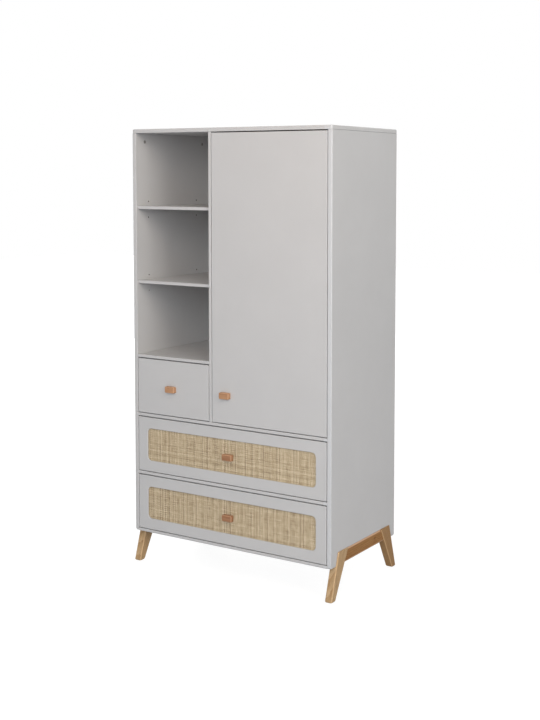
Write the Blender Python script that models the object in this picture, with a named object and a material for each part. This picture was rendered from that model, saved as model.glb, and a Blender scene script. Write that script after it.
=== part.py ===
# Wardrobe: open niches and a small drawer on the left, one tall door on the right, two wide
# drawers with cane panels below, all on two splayed wooden leg frames.
# Metres, +Z up, the front looks to -Y, the feet stand on Z = 0.

import math

import bmesh
import bpy
from mathutils import Vector

# Driving dimensions
CASE_WIDTH = 0.952
CASE_DEPTH = 0.504
CASE_HEIGHT = 1.661
LEG_CLEARANCE = 0.128          # height of the case's underside above the floor
SIDE_THICKNESS = 0.018
TOP_THICKNESS = 0.016
BOARD_THICKNESS = 0.012        # bottom, mid panel, rail, divider and shelves
FRONT_THICKNESS = 0.018        # door and drawer fronts
FRONT_GAP = 0.0032             # gap beside and under the door and each drawer front
FRONT_TOP_GAP = 0.0042         # gap over them
SEAT_GAP = 0.0003              # between pieces that touch
DIVIDER_SHARE = 0.089          # divider's centre left of the middle, share of the case's width
DRAWER_FRONT_HEIGHT = 0.2236

# Rounding of the edges
SIDE_EDGE_RADIUS = 0.006
SIDE_CORNER_RADIUS = 0.008
TOP_EDGE_RADIUS = 0.005
TOP_CORNER_RADIUS = 0.007
TOP_LOWER_RADIUS = 0.0015
BOTTOM_EDGE_RADIUS = 0.004
BOARD_EDGE_RADIUS = 0.0015     # boards, door and drawer fronts

# Back panel
BACK_THICKNESS = 0.003
BACK_INSET = 0.010             # from the case's rear edge to the sheet
BACK_GROOVE_DEPTH = 0.005
GROOVE_SLIP = 0.001            # free space at the bottom of a groove

# Rail, shelves and their pins
DRAWER_RAIL_DEPTH = 0.080
SHELF_SETBACK = 0.010
SHELF_SIDE_GAP = 0.0008
LOWER_PIN_SHARE = 0.3203       # of the height between the fixed shelf and the top
UPPER_PIN_SHARE = 0.6565
PIN_RADIUS = 0.0025
PIN_LENGTH = 0.008
PIN_FRONT_INSET = 0.077        # rows of pins and holes from the case's front and rear edges
PIN_REAR_INSET = 0.107
HOLE_PITCH = 0.0327
HOLE_DEPTH = 0.008

# Hanging rail
HANGING_RAIL_DROP = 0.064      # centre of the rail under the top panel
HANGING_RAIL_HEIGHT = 0.030
HANGING_RAIL_WIDTH = 0.015
HANGING_RAIL_WALL = 0.0012
SOCKET_WALL = 0.004
SOCKET_DEPTH = 0.012
SOCKET_BASE = 0.003

# Leg frames
LEG_THICKNESS = 0.031
LEG_PROUD = 0.005              # leg beyond the side panel's outer face
LEG_RAIL_PROUD = 0.001
NOTCH_HEIGHT = 0.054
LEG_TOP_INSET = 0.051          # leg's top from the case's front or rear edge
LEG_TOP_DEPTH = 0.070
LEG_FOOT_REACH = 0.0055        # foot beyond the case's front or rear edge
LEG_FOOT_DEPTH = 0.029
LEG_EDGE_RADIUS = 0.004
LEG_FOOT_RADIUS = 0.005
LEG_RAIL_RADIUS = 0.003

# Knobs
KNOB_WIDTH = 0.047
KNOB_HEIGHT = 0.0255
KNOB_DEPTH = 0.016
KNOB_RADIUS = 0.0045
DOOR_KNOB_INSET = 0.0659       # knob's centre from the door's free edge
DOOR_KNOB_RISE = 0.1112        # knob's centre over the door's lower edge
DRAWER_KNOB_DROP = 0.003       # knob's centre under the middle of a drawer front
SMALL_KNOB_SHIFT = -0.0065     # small drawer's knob from the middle of its front

# Drawer boxes
RUNNER_SPACE = 0.013           # between the case and the drawer box, at each side
BOX_WALL = 0.012
BOX_RISE = 0.0293              # box's lower edge over the front's lower edge
BOX_DROP = 0.0443              # box's upper edge under the front's upper edge
BOX_REAR_SPACE = 0.052         # between the box and the back panel
BOX_BOTTOM_THICKNESS = 0.004
BOX_BOTTOM_RISE = 0.012
BOX_GROOVE_DEPTH = 0.005

# Cane panels of the wide drawers
WINDOW_SIDE_MARGIN = 0.0468
WINDOW_TOP_MARGIN = 0.0448
WINDOW_RADIUS = 0.019
WINDOW_EDGE_RADIUS = 0.0015
CANE_RECESS = 0.004
CANE_THICKNESS = 0.006
CANE_LAP = 0.010               # cane panel behind the frame, all round the window

# Drawer runners
RUNNER_START = 0.004           # behind the drawer front
RUNNER_END = 0.017             # before the box's rear end
RUNNER_RISE = 0.060            # runner's middle over the box's lower edge
RUNNER_SHEET = 0.0012
RUNNER_HEIGHT = 0.035
RUNNER_CHANNEL_DEPTH = 0.0095
RUNNER_LIP = 0.004
RUNNER_PLAY = 0.0005
RUNNER_STEM_HEIGHT = 0.018
RUNNER_HEAD_DEPTH = 0.005

# Door hinges
HINGE_COUNT = 3
HINGE_END_INSET = 0.110        # outer hinges from the door's ends
CUP_RADIUS = 0.0175
CUP_WALL = 0.0015
CUP_DEPTH = 0.0115
CUP_EDGE_INSET = 0.0208        # cup's centre from the door's hinged edge
CUP_FLANGE_HEIGHT = 0.062
CUP_FLANGE_WIDTH = 0.037
CUP_FLANGE_THICKNESS = 0.0015
CUP_FLANGE_CORNER = 0.008
ARM_WIDTH = 0.018
ARM_DEPTH = 0.009
ARM_CLEARANCE = 0.001          # arm's nose behind the cup's flange
ARM_REACH = 0.006              # arm's nose past the cup's centre
ARM_LENGTH = 0.066
ARM_CORNER = 0.003
LINK_INSET = 0.001             # link behind the arm's nose
LINK_THICKNESS = 0.0065
LINK_WIDTH = 0.010
PLATE_HEIGHT = 0.048
PLATE_THICKNESS = 0.008
PLATE_START = 0.022            # plate behind the door's inner face
PLATE_LENGTH = 0.034
PLATE_CORNER = 0.006

# Cutters and fineness
OVERRUN = 0.002                # how far a cutter runs past what it cuts
ARC_STEPS = 5
EDGE_STEPS = 3
PIN_SIDES = 12
CUP_SIDES = 32
SHARP_ANGLE = math.radians(32)  # steeper edges are drawn sharp

# Colour, roughness and metallic value of each finish
PAINT = ((0.56, 0.545, 0.53), 0.42, 0.0)
DRAWER_BOARD = ((0.60, 0.59, 0.58), 0.50, 0.0)
BACK_BOARD = ((0.52, 0.51, 0.50), 0.55, 0.0)
OAK = ((0.46, 0.28, 0.14), 0.50, 0.0)
OAK_RAIL = ((0.34, 0.18, 0.08), 0.50, 0.0)
BEECH = ((0.52, 0.25, 0.12), 0.45, 0.0)
CANE = ((0.52, 0.41, 0.25), 0.65, 0.0)
ZINC = ((0.62, 0.62, 0.64), 0.32, 1.0)
CHROME = ((0.74, 0.75, 0.77), 0.15, 1.0)
HELPER = ((0.8, 0.1, 0.1), 0.5, 0.0)


def make_finish(name, color, roughness, metallic):
    finish = bpy.data.materials.new(name)
    finish.use_nodes = True
    shader = finish.node_tree.nodes["Principled BSDF"]
    shader.inputs["Base Color"].default_value = (*color, 1.0)
    shader.inputs["Roughness"].default_value = roughness
    shader.inputs["Metallic"].default_value = metallic
    finish.diffuse_color = (*color, 1.0)
    return finish


def add_piece(name, bm, look, carrier=None):
    """Makes the object of a mesh given in world places. The carrier is the empty it moves with."""
    bmesh.ops.recalc_face_normals(bm, faces=bm.faces[:])
    if carrier is not None:
        bmesh.ops.translate(bm, verts=bm.verts[:], vec=-carrier.location)
    mesh = bpy.data.meshes.new(name)
    bm.to_mesh(mesh)
    bm.free()
    mesh.materials.append(make_finish(name, *look))
    mesh.shade_smooth()
    mesh.set_sharp_from_angle(angle=SHARP_ANGLE)
    piece = bpy.data.objects.new(name, mesh)
    bpy.context.scene.collection.objects.link(piece)
    piece.parent = carrier
    return piece


def add_carrier(name, place):
    """An empty on the axis of a joint, which carries the pieces that move with it."""
    carrier = bpy.data.objects.new(name, None)
    carrier.location = place
    bpy.context.scene.collection.objects.link(carrier)
    return carrier


def apply_shape(piece, operation, bm, label):
    """Cuts a helper mesh, given in world places, from a piece, or joins it to the piece."""
    helper = add_piece(f"{piece.name}_{label}", bm, HELPER, piece.parent)
    helper.hide_render = True
    helper.display_type = "WIRE"
    modifier = piece.modifiers.new(label, "BOOLEAN")
    modifier.operation = operation
    modifier.solver = "EXACT"
    modifier.object = helper


def loft(sections, axis):
    """A closed body through sections, (outline, level), whose outlines have as many points.

    An outline is given in the two other axes, in their order.
    """
    bm = bmesh.new()
    rings = []
    for outline, level in sections:
        ring = []
        for point in outline:
            place = list(point)
            place.insert(axis, level)
            ring.append(bm.verts.new(place))
        rings.append(ring)
    bm.faces.new(rings[0])
    bm.faces.new(reversed(rings[-1]))
    for ring, following in zip(rings, rings[1:]):
        for i in range(len(ring)):
            bm.faces.new((ring[i], ring[i - 1], following[i - 1], following[i]))
    bmesh.ops.recalc_face_normals(bm, faces=bm.faces[:])
    return bm


def prism(outline, axis, low, high):
    """An outline run from low to high along one axis."""
    return loft([(outline, low), (outline, high)], axis)


def box(low, high):
    outline = [(low[0], low[1]), (high[0], low[1]), (high[0], high[1]), (low[0], high[1])]
    return prism(outline, 2, low[2], high[2])


def cylinder(centre, axis, radius, low, high, sides):
    """A round bar from low to high along an axis. The centre is given in the two other axes."""
    turns = [math.tau * (i + 0.5) / sides for i in range(sides)]
    outline = [(centre[0] + radius * math.cos(t), centre[1] + radius * math.sin(t)) for t in turns]
    return prism(outline, axis, low, high)


def rounded(corners, steps=ARC_STEPS):
    """An outline whose corners, (first, second, radius), are replaced by arcs."""
    outline = []
    count = len(corners)
    for i, (first, second, radius) in enumerate(corners):
        here = Vector((first, second))
        if radius == 0:
            outline.append((first, second))
            continue
        back = (Vector(corners[i - 1][:2]) - here).normalized()
        ahead = (Vector(corners[(i + 1) % count][:2]) - here).normalized()
        half = back.angle(ahead) / 2
        centre = here + (back + ahead).normalized() * (radius / math.sin(half))
        start = here + back * (radius / math.tan(half)) - centre
        end = here + ahead * (radius / math.tan(half)) - centre
        start_turn = math.atan2(start.y, start.x)
        sweep = math.remainder(math.atan2(end.y, end.x) - start_turn, math.tau)
        for k in range(steps + 1):
            turn = start_turn + sweep * k / steps
            outline.append((centre.x + radius * math.cos(turn), centre.y + radius * math.sin(turn)))
    return outline


def rounded_rectangle(low, high, radius, steps=ARC_STEPS):
    corners = ((low[0], low[1]), (high[0], low[1]), (high[0], high[1]), (low[0], high[1]))
    return rounded([(*corner, radius) for corner in corners], steps)


def lies(edge, axis, level):
    """Whether both ends of an edge are at a level of one axis."""
    return all(abs(vert.co[axis] - level) < SEAT_GAP / 2 for vert in edge.verts)


def round_edges(bm, edges, radius):
    bmesh.ops.bevel(
        bm, geom=list(edges), offset=radius, segments=EDGE_STEPS, profile=0.5, affect="EDGES"
    )


def joined(bodies):
    """One mesh that holds several bodies, for a helper."""
    whole = bmesh.new()
    for body in bodies:
        mesh = bpy.data.meshes.new("body")
        body.to_mesh(mesh)
        body.free()
        whole.from_mesh(mesh)
        bpy.data.meshes.remove(mesh)
    return whole


def leg_outline():
    """A leg seen from the side: distances from the middle of the case's depth, and levels."""
    return rounded(
        [
            (leg_top_outer, leg_high, 0),
            (leg_top_inner, leg_high, 0),
            (leg_foot_inner, 0, LEG_FOOT_RADIUS),
            (leg_foot_outer, 0, LEG_FOOT_RADIUS),
        ]
    )


def along_leg(top, foot, level):
    """Distance from the middle of the depth, at a level, of an edge from a leg's top to its foot."""
    return top + (foot - top) * (leg_high - level) / leg_high


# Levels, from the floor up
case_low = LEG_CLEARANCE
case_high = case_low + CASE_HEIGHT
top_low = case_high - TOP_THICKNESS
bottom_high = case_low + BOARD_THICKNESS
lower_front_low = bottom_high + FRONT_GAP
rail_low = lower_front_low + DRAWER_FRONT_HEIGHT + FRONT_TOP_GAP
upper_front_low = rail_low + BOARD_THICKNESS + FRONT_GAP
mid_low = upper_front_low + DRAWER_FRONT_HEIGHT + FRONT_TOP_GAP
mid_high = mid_low + BOARD_THICKNESS
small_front_low = mid_high + FRONT_GAP
fixed_shelf_low = small_front_low + DRAWER_FRONT_HEIGHT + FRONT_TOP_GAP
fixed_shelf_high = fixed_shelf_low + BOARD_THICKNESS
door_low = mid_high + FRONT_GAP
door_high = top_low - FRONT_TOP_GAP
niche_height = top_low - fixed_shelf_high
pin_levels = [fixed_shelf_high + niche_height * s for s in (LOWER_PIN_SHARE, UPPER_PIN_SHARE)]
leg_high = case_low + NOTCH_HEIGHT

# Places across the width
half_width = CASE_WIDTH / 2
inner_x = half_width - SIDE_THICKNESS
divider_left = -CASE_WIDTH * DIVIDER_SHARE - BOARD_THICKNESS / 2
divider_right = divider_left + BOARD_THICKNESS
door_left = divider_right + FRONT_GAP
door_right = inner_x - FRONT_GAP
leg_inner_x = half_width + LEG_PROUD - LEG_THICKNESS

# A leg's edges seen from the side, as distances from the middle of the case's depth
leg_top_outer = CASE_DEPTH / 2 - LEG_TOP_INSET
leg_top_inner = leg_top_outer - LEG_TOP_DEPTH
leg_foot_outer = CASE_DEPTH / 2 + LEG_FOOT_REACH
leg_foot_inner = leg_foot_outer - LEG_FOOT_DEPTH

# Places along the depth. The knobs reach furthest forward, and the case or the rear feet
# furthest back; the case stands so that the whole wardrobe is centred on Y = 0.
front_reach = CASE_DEPTH / 2 + SEAT_GAP + KNOB_DEPTH
rear_reach = max([CASE_DEPTH / 2] + [distance for distance, level in leg_outline()])
middle_y = (front_reach - rear_reach) / 2
front_y = middle_y - CASE_DEPTH / 2
rear_y = middle_y + CASE_DEPTH / 2
front_inner_y = front_y + FRONT_THICKNESS
back_sheet_rear = rear_y - BACK_INSET
back_sheet_front = back_sheet_rear - BACK_THICKNESS
pin_rows = (front_y + PIN_FRONT_INSET, rear_y - PIN_REAR_INSET)
box_start = front_inner_y + SEAT_GAP
box_end = back_sheet_front - BOX_REAR_SPACE


def across(side, near, far):
    """Low and high X of a stretch given by its distances from the middle, on one side."""
    return sorted((side * near, side * far))


def back_groove(low_x, high_x, low_z, high_z):
    """Cutter of the groove that holds the back panel."""
    return box(
        (low_x, back_sheet_front - SEAT_GAP, low_z), (high_x, back_sheet_rear + SEAT_GAP, high_z)
    )


def add_shelf_pins(panel, face_x, inward):
    """Pins that stand out of a panel's face, with a free hole above and below each of them."""
    pins = []
    holes = []
    pin_ends = sorted((face_x - inward * OVERRUN, face_x + inward * PIN_LENGTH))
    hole_ends = sorted((face_x - inward * HOLE_DEPTH, face_x + inward * OVERRUN))
    for level in pin_levels:
        for row in pin_rows:
            pins.append(cylinder((row, level), 0, PIN_RADIUS, *pin_ends, PIN_SIDES))
            for step in (-HOLE_PITCH, HOLE_PITCH):
                holes.append(cylinder((row, level + step), 0, PIN_RADIUS, *hole_ends, PIN_SIDES))
    apply_shape(panel, "UNION", joined(pins), "pins")
    apply_shape(panel, "DIFFERENCE", joined(holes), "holes")


def make_side_panel(name, side):
    """Side panel with a notch in its lower edge that follows the leg frame."""
    high = top_low - SEAT_GAP
    notch_high = leg_high + SEAT_GAP
    notch_top = leg_top_outer + SEAT_GAP
    notch_low = along_leg(leg_top_outer, leg_foot_outer, case_low) + SEAT_GAP
    outline = rounded(
        [
            (front_y, high, 0),
            (front_y, case_low, SIDE_CORNER_RADIUS),
            (middle_y - notch_low, case_low, 0),
            (middle_y - notch_top, notch_high, 0),
            (middle_y + notch_top, notch_high, 0),
            (middle_y + notch_low, case_low, 0),
            (rear_y, case_low, SIDE_CORNER_RADIUS),
            (rear_y, high, 0),
        ]
    )
    bm = prism(outline, 0, *across(side, inner_x, half_width))
    outer = []
    for edge in bm.edges:
        in_notch = all(abs(vert.co.y - middle_y) < notch_low + SEAT_GAP for vert in edge.verts)
        if lies(edge, 0, side * half_width) and not lies(edge, 2, high) and not in_notch:
            outer.append(edge)
    round_edges(bm, outer, SIDE_EDGE_RADIUS)
    inner = [edge for edge in bm.edges if lies(edge, 0, side * inner_x) and lies(edge, 1, front_y)]
    round_edges(bm, inner, BOARD_EDGE_RADIUS)
    panel = add_piece(name, bm, PAINT)
    groove = back_groove(
        *across(side, inner_x - OVERRUN, inner_x + BACK_GROOVE_DEPTH),
        bottom_high - BACK_GROOVE_DEPTH,
        high + OVERRUN,
    )
    apply_shape(panel, "DIFFERENCE", groove, "groove")
    return panel


def make_top_panel():
    outline = rounded_rectangle((-half_width, front_y), (half_width, rear_y), TOP_CORNER_RADIUS)
    bm = prism(outline, 2, top_low, case_high)
    round_edges(bm, [edge for edge in bm.edges if lies(edge, 2, case_high)], TOP_EDGE_RADIUS)
    round_edges(bm, [edge for edge in bm.edges if lies(edge, 2, top_low)], TOP_LOWER_RADIUS)
    panel = add_piece("top_panel", bm, PAINT)
    reach = inner_x + BACK_GROOVE_DEPTH
    groove = back_groove(-reach, reach, top_low - OVERRUN, top_low + BACK_GROOVE_DEPTH)
    apply_shape(panel, "DIFFERENCE", groove, "groove")


def make_bottom_panel():
    reach = inner_x - SEAT_GAP
    bm = box((-reach, front_y, case_low), (reach, rear_y, bottom_high))
    front = [edge for edge in bm.edges if lies(edge, 1, front_y)]
    round_edges(bm, [edge for edge in front if lies(edge, 2, case_low)], BOTTOM_EDGE_RADIUS)
    front = [edge for edge in bm.edges if lies(edge, 1, front_y)]
    round_edges(bm, [edge for edge in front if lies(edge, 2, bottom_high)], BOARD_EDGE_RADIUS)
    panel = add_piece("bottom_panel", bm, PAINT)
    ends = (-reach - OVERRUN, reach + OVERRUN)
    groove = back_groove(*ends, bottom_high - BACK_GROOVE_DEPTH, bottom_high + OVERRUN)
    apply_shape(panel, "DIFFERENCE", groove, "groove")


def make_board(name, low, high):
    """A flat board of the case whose long front edges are eased."""
    bm = box(low, high)
    front = [edge for edge in bm.edges if lies(edge, 1, low[1])]
    longest = max(edge.calc_length() for edge in front)
    eased = [edge for edge in front if edge.calc_length() > longest - SEAT_GAP]
    round_edges(bm, eased, BOARD_EDGE_RADIUS)
    return add_piece(name, bm, PAINT)


def make_shelf(name, pin_level):
    """A loose shelf that lies on its four pins."""
    low = pin_level + PIN_RADIUS + SEAT_GAP
    make_board(
        name,
        (-inner_x + SHELF_SIDE_GAP, front_y + SHELF_SETBACK, low),
        (divider_left - SHELF_SIDE_GAP, back_sheet_front - SHELF_SIDE_GAP, low + BOARD_THICKNESS),
    )


def make_case():
    left = make_side_panel("side_panel_left", -1)
    make_side_panel("side_panel_right", 1)
    make_top_panel()
    make_bottom_panel()
    depth_end = back_sheet_front - SEAT_GAP
    reach = inner_x - SEAT_GAP
    make_board("mid_panel", (-reach, front_y, mid_low), (reach, depth_end, mid_high))
    make_board(
        "drawer_rail",
        (-reach, front_y, rail_low),
        (reach, front_y + DRAWER_RAIL_DEPTH, rail_low + BOARD_THICKNESS),
    )
    divider = make_board(
        "divider_panel",
        (divider_left, front_y, mid_high + SEAT_GAP),
        (divider_right, depth_end, top_low - SEAT_GAP),
    )
    make_board(
        "fixed_shelf",
        (-reach, front_y, fixed_shelf_low),
        (divider_left - SEAT_GAP, depth_end, fixed_shelf_high),
    )
    add_shelf_pins(left, -inner_x, 1)
    add_shelf_pins(divider, divider_left, -1)
    make_shelf("adjustable_shelf_lower", pin_levels[0])
    make_shelf("adjustable_shelf_upper", pin_levels[1])
    grip = BACK_GROOVE_DEPTH - GROOVE_SLIP
    sheet = box(
        (-inner_x - grip, back_sheet_front, bottom_high - grip),
        (inner_x + grip, back_sheet_rear, top_low + grip),
    )
    add_piece("back_panel", sheet, BACK_BOARD)


def make_leg(name, side, end):
    """A tapered, splayed leg with a shoulder under the case. End is -1 in front, 1 at the back."""
    outline = [(middle_y + end * distance, level) for distance, level in leg_outline()]
    outer_x = half_width + LEG_PROUD
    bm = prism(outline, 0, *across(side, leg_inner_x, outer_x))
    long_edges = []
    for edge in bm.edges:
        faces_out = lies(edge, 0, side * outer_x) or lies(edge, 0, side * leg_inner_x)
        if faces_out and not lies(edge, 2, leg_high):
            long_edges.append(edge)
    round_edges(bm, long_edges, LEG_EDGE_RADIUS)
    leg = add_piece(name, bm, OAK)
    near_x, far_x = across(side, leg_inner_x - OVERRUN, inner_x)
    shoulder = box(
        (near_x, min(y for y, level in outline) - OVERRUN, case_low - SEAT_GAP),
        (far_x, max(y for y, level in outline) + OVERRUN, leg_high + OVERRUN),
    )
    apply_shape(leg, "DIFFERENCE", shoulder, "shoulder")


def make_leg_rail(name, side):
    """The rail between two legs, in the side panel's notch."""
    top_reach = leg_top_inner - SEAT_GAP
    low_reach = along_leg(leg_top_inner, leg_foot_inner, case_low) - SEAT_GAP
    outline = [
        (middle_y - low_reach, case_low),
        (middle_y + low_reach, case_low),
        (middle_y + top_reach, leg_high),
        (middle_y - top_reach, leg_high),
    ]
    outer_x = half_width + LEG_RAIL_PROUD
    bm = prism(outline, 0, *across(side, inner_x, outer_x))
    outer = [edge for edge in bm.edges if lies(edge, 0, side * outer_x)]
    level = [edge for edge in outer if lies(edge, 2, leg_high) or lies(edge, 2, case_low)]
    round_edges(bm, level, LEG_RAIL_RADIUS)
    add_piece(name, bm, OAK_RAIL)


def make_leg_frames():
    for side, hand in ((-1, "left"), (1, "right")):
        make_leg(f"{hand}_front_leg", side, -1)
        make_leg(f"{hand}_rear_leg", side, 1)
        make_leg_rail(f"{hand}_leg_rail", side)


def oval(centre_y, centre_z, margin):
    """The hanging rail's oval section, wider by a margin all round."""
    half_y = HANGING_RAIL_WIDTH / 2 + margin
    half_z = HANGING_RAIL_HEIGHT / 2 + margin
    low = (centre_y - half_y, centre_z - half_z)
    high = (centre_y + half_y, centre_z + half_z)
    return rounded_rectangle(low, high, half_y - SEAT_GAP / 2, 2 * ARC_STEPS)


def make_hanging_rail():
    place = (middle_y, top_low - HANGING_RAIL_DROP)
    wall_left = divider_right + SEAT_GAP
    wall_right = inner_x - SEAT_GAP
    seat = SOCKET_BASE + SEAT_GAP
    tube = prism(oval(*place, 0), 0, wall_left + seat, wall_right - seat)
    rail = add_piece("hanging_rail", tube, CHROME)
    bore = prism(oval(*place, -HANGING_RAIL_WALL), 0, wall_left, wall_right)
    apply_shape(rail, "DIFFERENCE", bore, "bore")
    for name, wall, inward in (("left", wall_left, 1), ("right", wall_right, -1)):
        ends = sorted((wall, wall + inward * SOCKET_DEPTH))
        socket = add_piece(
            f"hanging_rail_socket_{name}", prism(oval(*place, SOCKET_WALL), 0, *ends), CHROME
        )
        ends = sorted((wall + inward * SOCKET_BASE, wall + inward * (SOCKET_DEPTH + OVERRUN)))
        mouth = prism(oval(*place, SEAT_GAP), 0, *ends)
        apply_shape(socket, "DIFFERENCE", mouth, "mouth")


def make_knob(name, centre_x, centre_z, face_y, carrier):
    """A wooden block with rounded edges that stands on a front."""
    base_y = face_y - SEAT_GAP
    bm = box(
        (centre_x - KNOB_WIDTH / 2, base_y - KNOB_DEPTH, centre_z - KNOB_HEIGHT / 2),
        (centre_x + KNOB_WIDTH / 2, base_y, centre_z + KNOB_HEIGHT / 2),
    )
    round_edges(bm, [edge for edge in bm.edges if not lies(edge, 1, base_y)], KNOB_RADIUS)
    add_piece(name, bm, BEECH, carrier)


def eased_panel(low, high):
    """A door or drawer front whose outer face has eased edges."""
    bm = box(low, high)
    round_edges(bm, [edge for edge in bm.edges if lies(edge, 1, low[1])], BOARD_EDGE_RADIUS)
    return bm


def hinge_levels():
    first = door_low + HINGE_END_INSET
    last = door_high - HINGE_END_INSET
    step = (last - first) / (HINGE_COUNT - 1)
    return [first + step * i for i in range(HINGE_COUNT)]


def make_hinge_cup(name, centre_x, level, carrier):
    """A hinge's cup, which sits in the door, with its flange on the door's inner face."""
    flange_low = front_inner_y + SEAT_GAP
    flange_high = flange_low + CUP_FLANGE_THICKNESS
    outline = rounded_rectangle(
        (centre_x - CUP_FLANGE_WIDTH / 2, level - CUP_FLANGE_HEIGHT / 2),
        (centre_x + CUP_FLANGE_WIDTH / 2, level + CUP_FLANGE_HEIGHT / 2),
        CUP_FLANGE_CORNER,
    )
    cup = add_piece(name, prism(outline, 1, flange_low, flange_high), ZINC, carrier)
    centre = (centre_x, level)
    floor = front_inner_y - CUP_DEPTH
    middle = (flange_low + flange_high) / 2
    body = cylinder(centre, 1, CUP_RADIUS, floor, middle, CUP_SIDES)
    apply_shape(cup, "UNION", body, "body")
    hollow_radius = CUP_RADIUS - CUP_WALL
    hollow = cylinder(centre, 1, hollow_radius, floor + CUP_WALL, flange_high + OVERRUN, CUP_SIDES)
    apply_shape(cup, "DIFFERENCE", hollow, "hollow")


def make_hinge_arm(name, cup_x, level):
    """A hinge's mounting plate on the side panel, its arm, and the link that dips into the cup."""
    plate_x = inner_x - SEAT_GAP - PLATE_THICKNESS
    nose_x = cup_x - ARM_REACH
    start = front_inner_y + SEAT_GAP + CUP_FLANGE_THICKNESS + ARM_CLEARANCE
    outline = rounded(
        [
            (nose_x, start, ARM_CORNER),
            (plate_x, start, ARM_CORNER),
            (plate_x, start + ARM_LENGTH, 0),
            (plate_x - ARM_DEPTH, start + ARM_LENGTH, ARM_CORNER),
            (plate_x - ARM_DEPTH, start + ARM_DEPTH, ARM_CORNER),
            (nose_x, start + ARM_DEPTH, ARM_CORNER),
        ]
    )
    arm = add_piece(
        name, prism(outline, 2, level - ARM_WIDTH / 2, level + ARM_WIDTH / 2), ZINC
    )
    plate_low = front_inner_y + PLATE_START
    plate_outline = rounded_rectangle(
        (plate_low, level - PLATE_HEIGHT / 2),
        (plate_low + PLATE_LENGTH, level + PLATE_HEIGHT / 2),
        PLATE_CORNER,
    )
    plate = prism(plate_outline, 0, plate_x - OVERRUN, inner_x - SEAT_GAP)
    link_x = nose_x + LINK_INSET
    cup_floor = front_inner_y - CUP_DEPTH + CUP_WALL
    link = box(
        (link_x, cup_floor + SEAT_GAP, level - LINK_WIDTH / 2),
        (link_x + LINK_THICKNESS, start + ARM_DEPTH / 2, level + LINK_WIDTH / 2),
    )
    apply_shape(arm, "UNION", joined([plate, link]), "plate_and_link")


def make_door():
    """The door, its knob and its hinges. The carrier is on the axis at the front right edge."""
    carrier = add_carrier("door_axis", (door_right, front_y, door_low))
    panel = add_piece(
        "door_panel",
        eased_panel((door_left, front_y, door_low), (door_right, front_inner_y, door_high)),
        PAINT,
        carrier,
    )
    make_knob(
        "door_knob", door_left + DOOR_KNOB_INSET, door_low + DOOR_KNOB_RISE, front_y, carrier
    )
    cup_x = door_right - CUP_EDGE_INSET
    bores = []
    for number, level in enumerate(hinge_levels(), start=1):
        bores.append(
            cylinder(
                (cup_x, level),
                1,
                CUP_RADIUS + SEAT_GAP,
                front_inner_y - CUP_DEPTH - SEAT_GAP,
                front_inner_y + OVERRUN,
                CUP_SIDES,
            )
        )
        make_hinge_cup(f"hinge_cup_{number}", cup_x, level, carrier)
        make_hinge_arm(f"hinge_arm_{number}", cup_x, level)
    apply_shape(panel, "DIFFERENCE", joined(bores), "bores")


def window_outline(low, high, spread):
    """Outline of a drawer front's window, wider by a spread all round."""
    return rounded_rectangle(
        (low[0] + WINDOW_SIDE_MARGIN - spread, low[2] + WINDOW_TOP_MARGIN - spread),
        (high[0] - WINDOW_SIDE_MARGIN + spread, high[2] - WINDOW_TOP_MARGIN + spread),
        WINDOW_RADIUS + spread,
    )


def make_caned_front(name, low, high, carrier):
    """A frame with a round-cornered window, and the cane panel in a rebate behind it."""
    frame = add_piece(f"{name}_front_frame", eased_panel(low, high), PAINT, carrier)
    sections = [(window_outline(low, high, WINDOW_EDGE_RADIUS), front_y - OVERRUN)]
    for k in range(EDGE_STEPS + 1):
        turn = math.pi / 2 * k / EDGE_STEPS
        spread = WINDOW_EDGE_RADIUS * (1 - math.sin(turn))
        depth = WINDOW_EDGE_RADIUS * (1 - math.cos(turn))
        sections.append((window_outline(low, high, spread), front_y + depth))
    sections.append((window_outline(low, high, 0), front_inner_y + OVERRUN))
    apply_shape(frame, "DIFFERENCE", loft(sections, 1), "window")
    cane_y = front_y + CANE_RECESS
    rebate = prism(window_outline(low, high, CANE_LAP), 1, cane_y, front_inner_y + OVERRUN)
    apply_shape(frame, "DIFFERENCE", rebate, "rebate")
    outline = window_outline(low, high, CANE_LAP - SEAT_GAP)
    cane_start = cane_y + SEAT_GAP
    cane = prism(outline, 1, cane_start, cane_start + CANE_THICKNESS)
    add_piece(f"{name}_cane_panel", cane, CANE, carrier)
    return cane_start


def make_box_side(name, wall_x, inward, low_z, high_z, carrier):
    """One side of a drawer box, with the groove that its bottom slides into."""
    groove_low = low_z + BOX_BOTTOM_RISE - SEAT_GAP
    groove_high = low_z + BOX_BOTTOM_RISE + BOX_BOTTOM_THICKNESS + SEAT_GAP
    inner = wall_x + inward * BOX_WALL
    groove_x = inner - inward * BOX_GROOVE_DEPTH
    outline = [
        (wall_x, low_z),
        (inner, low_z),
        (inner, groove_low),
        (groove_x, groove_low),
        (groove_x, groove_high),
        (inner, groove_high),
        (inner, high_z),
        (wall_x, high_z),
    ]
    bm = prism(outline, 1, box_start, box_end)
    top = [edge for edge in bm.edges if lies(edge, 2, high_z)]
    eased = [edge for edge in top if lies(edge, 0, wall_x) or lies(edge, 0, inner)]
    round_edges(bm, eased, BOARD_EDGE_RADIUS)
    add_piece(name, bm, DRAWER_BOARD, carrier)


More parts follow.
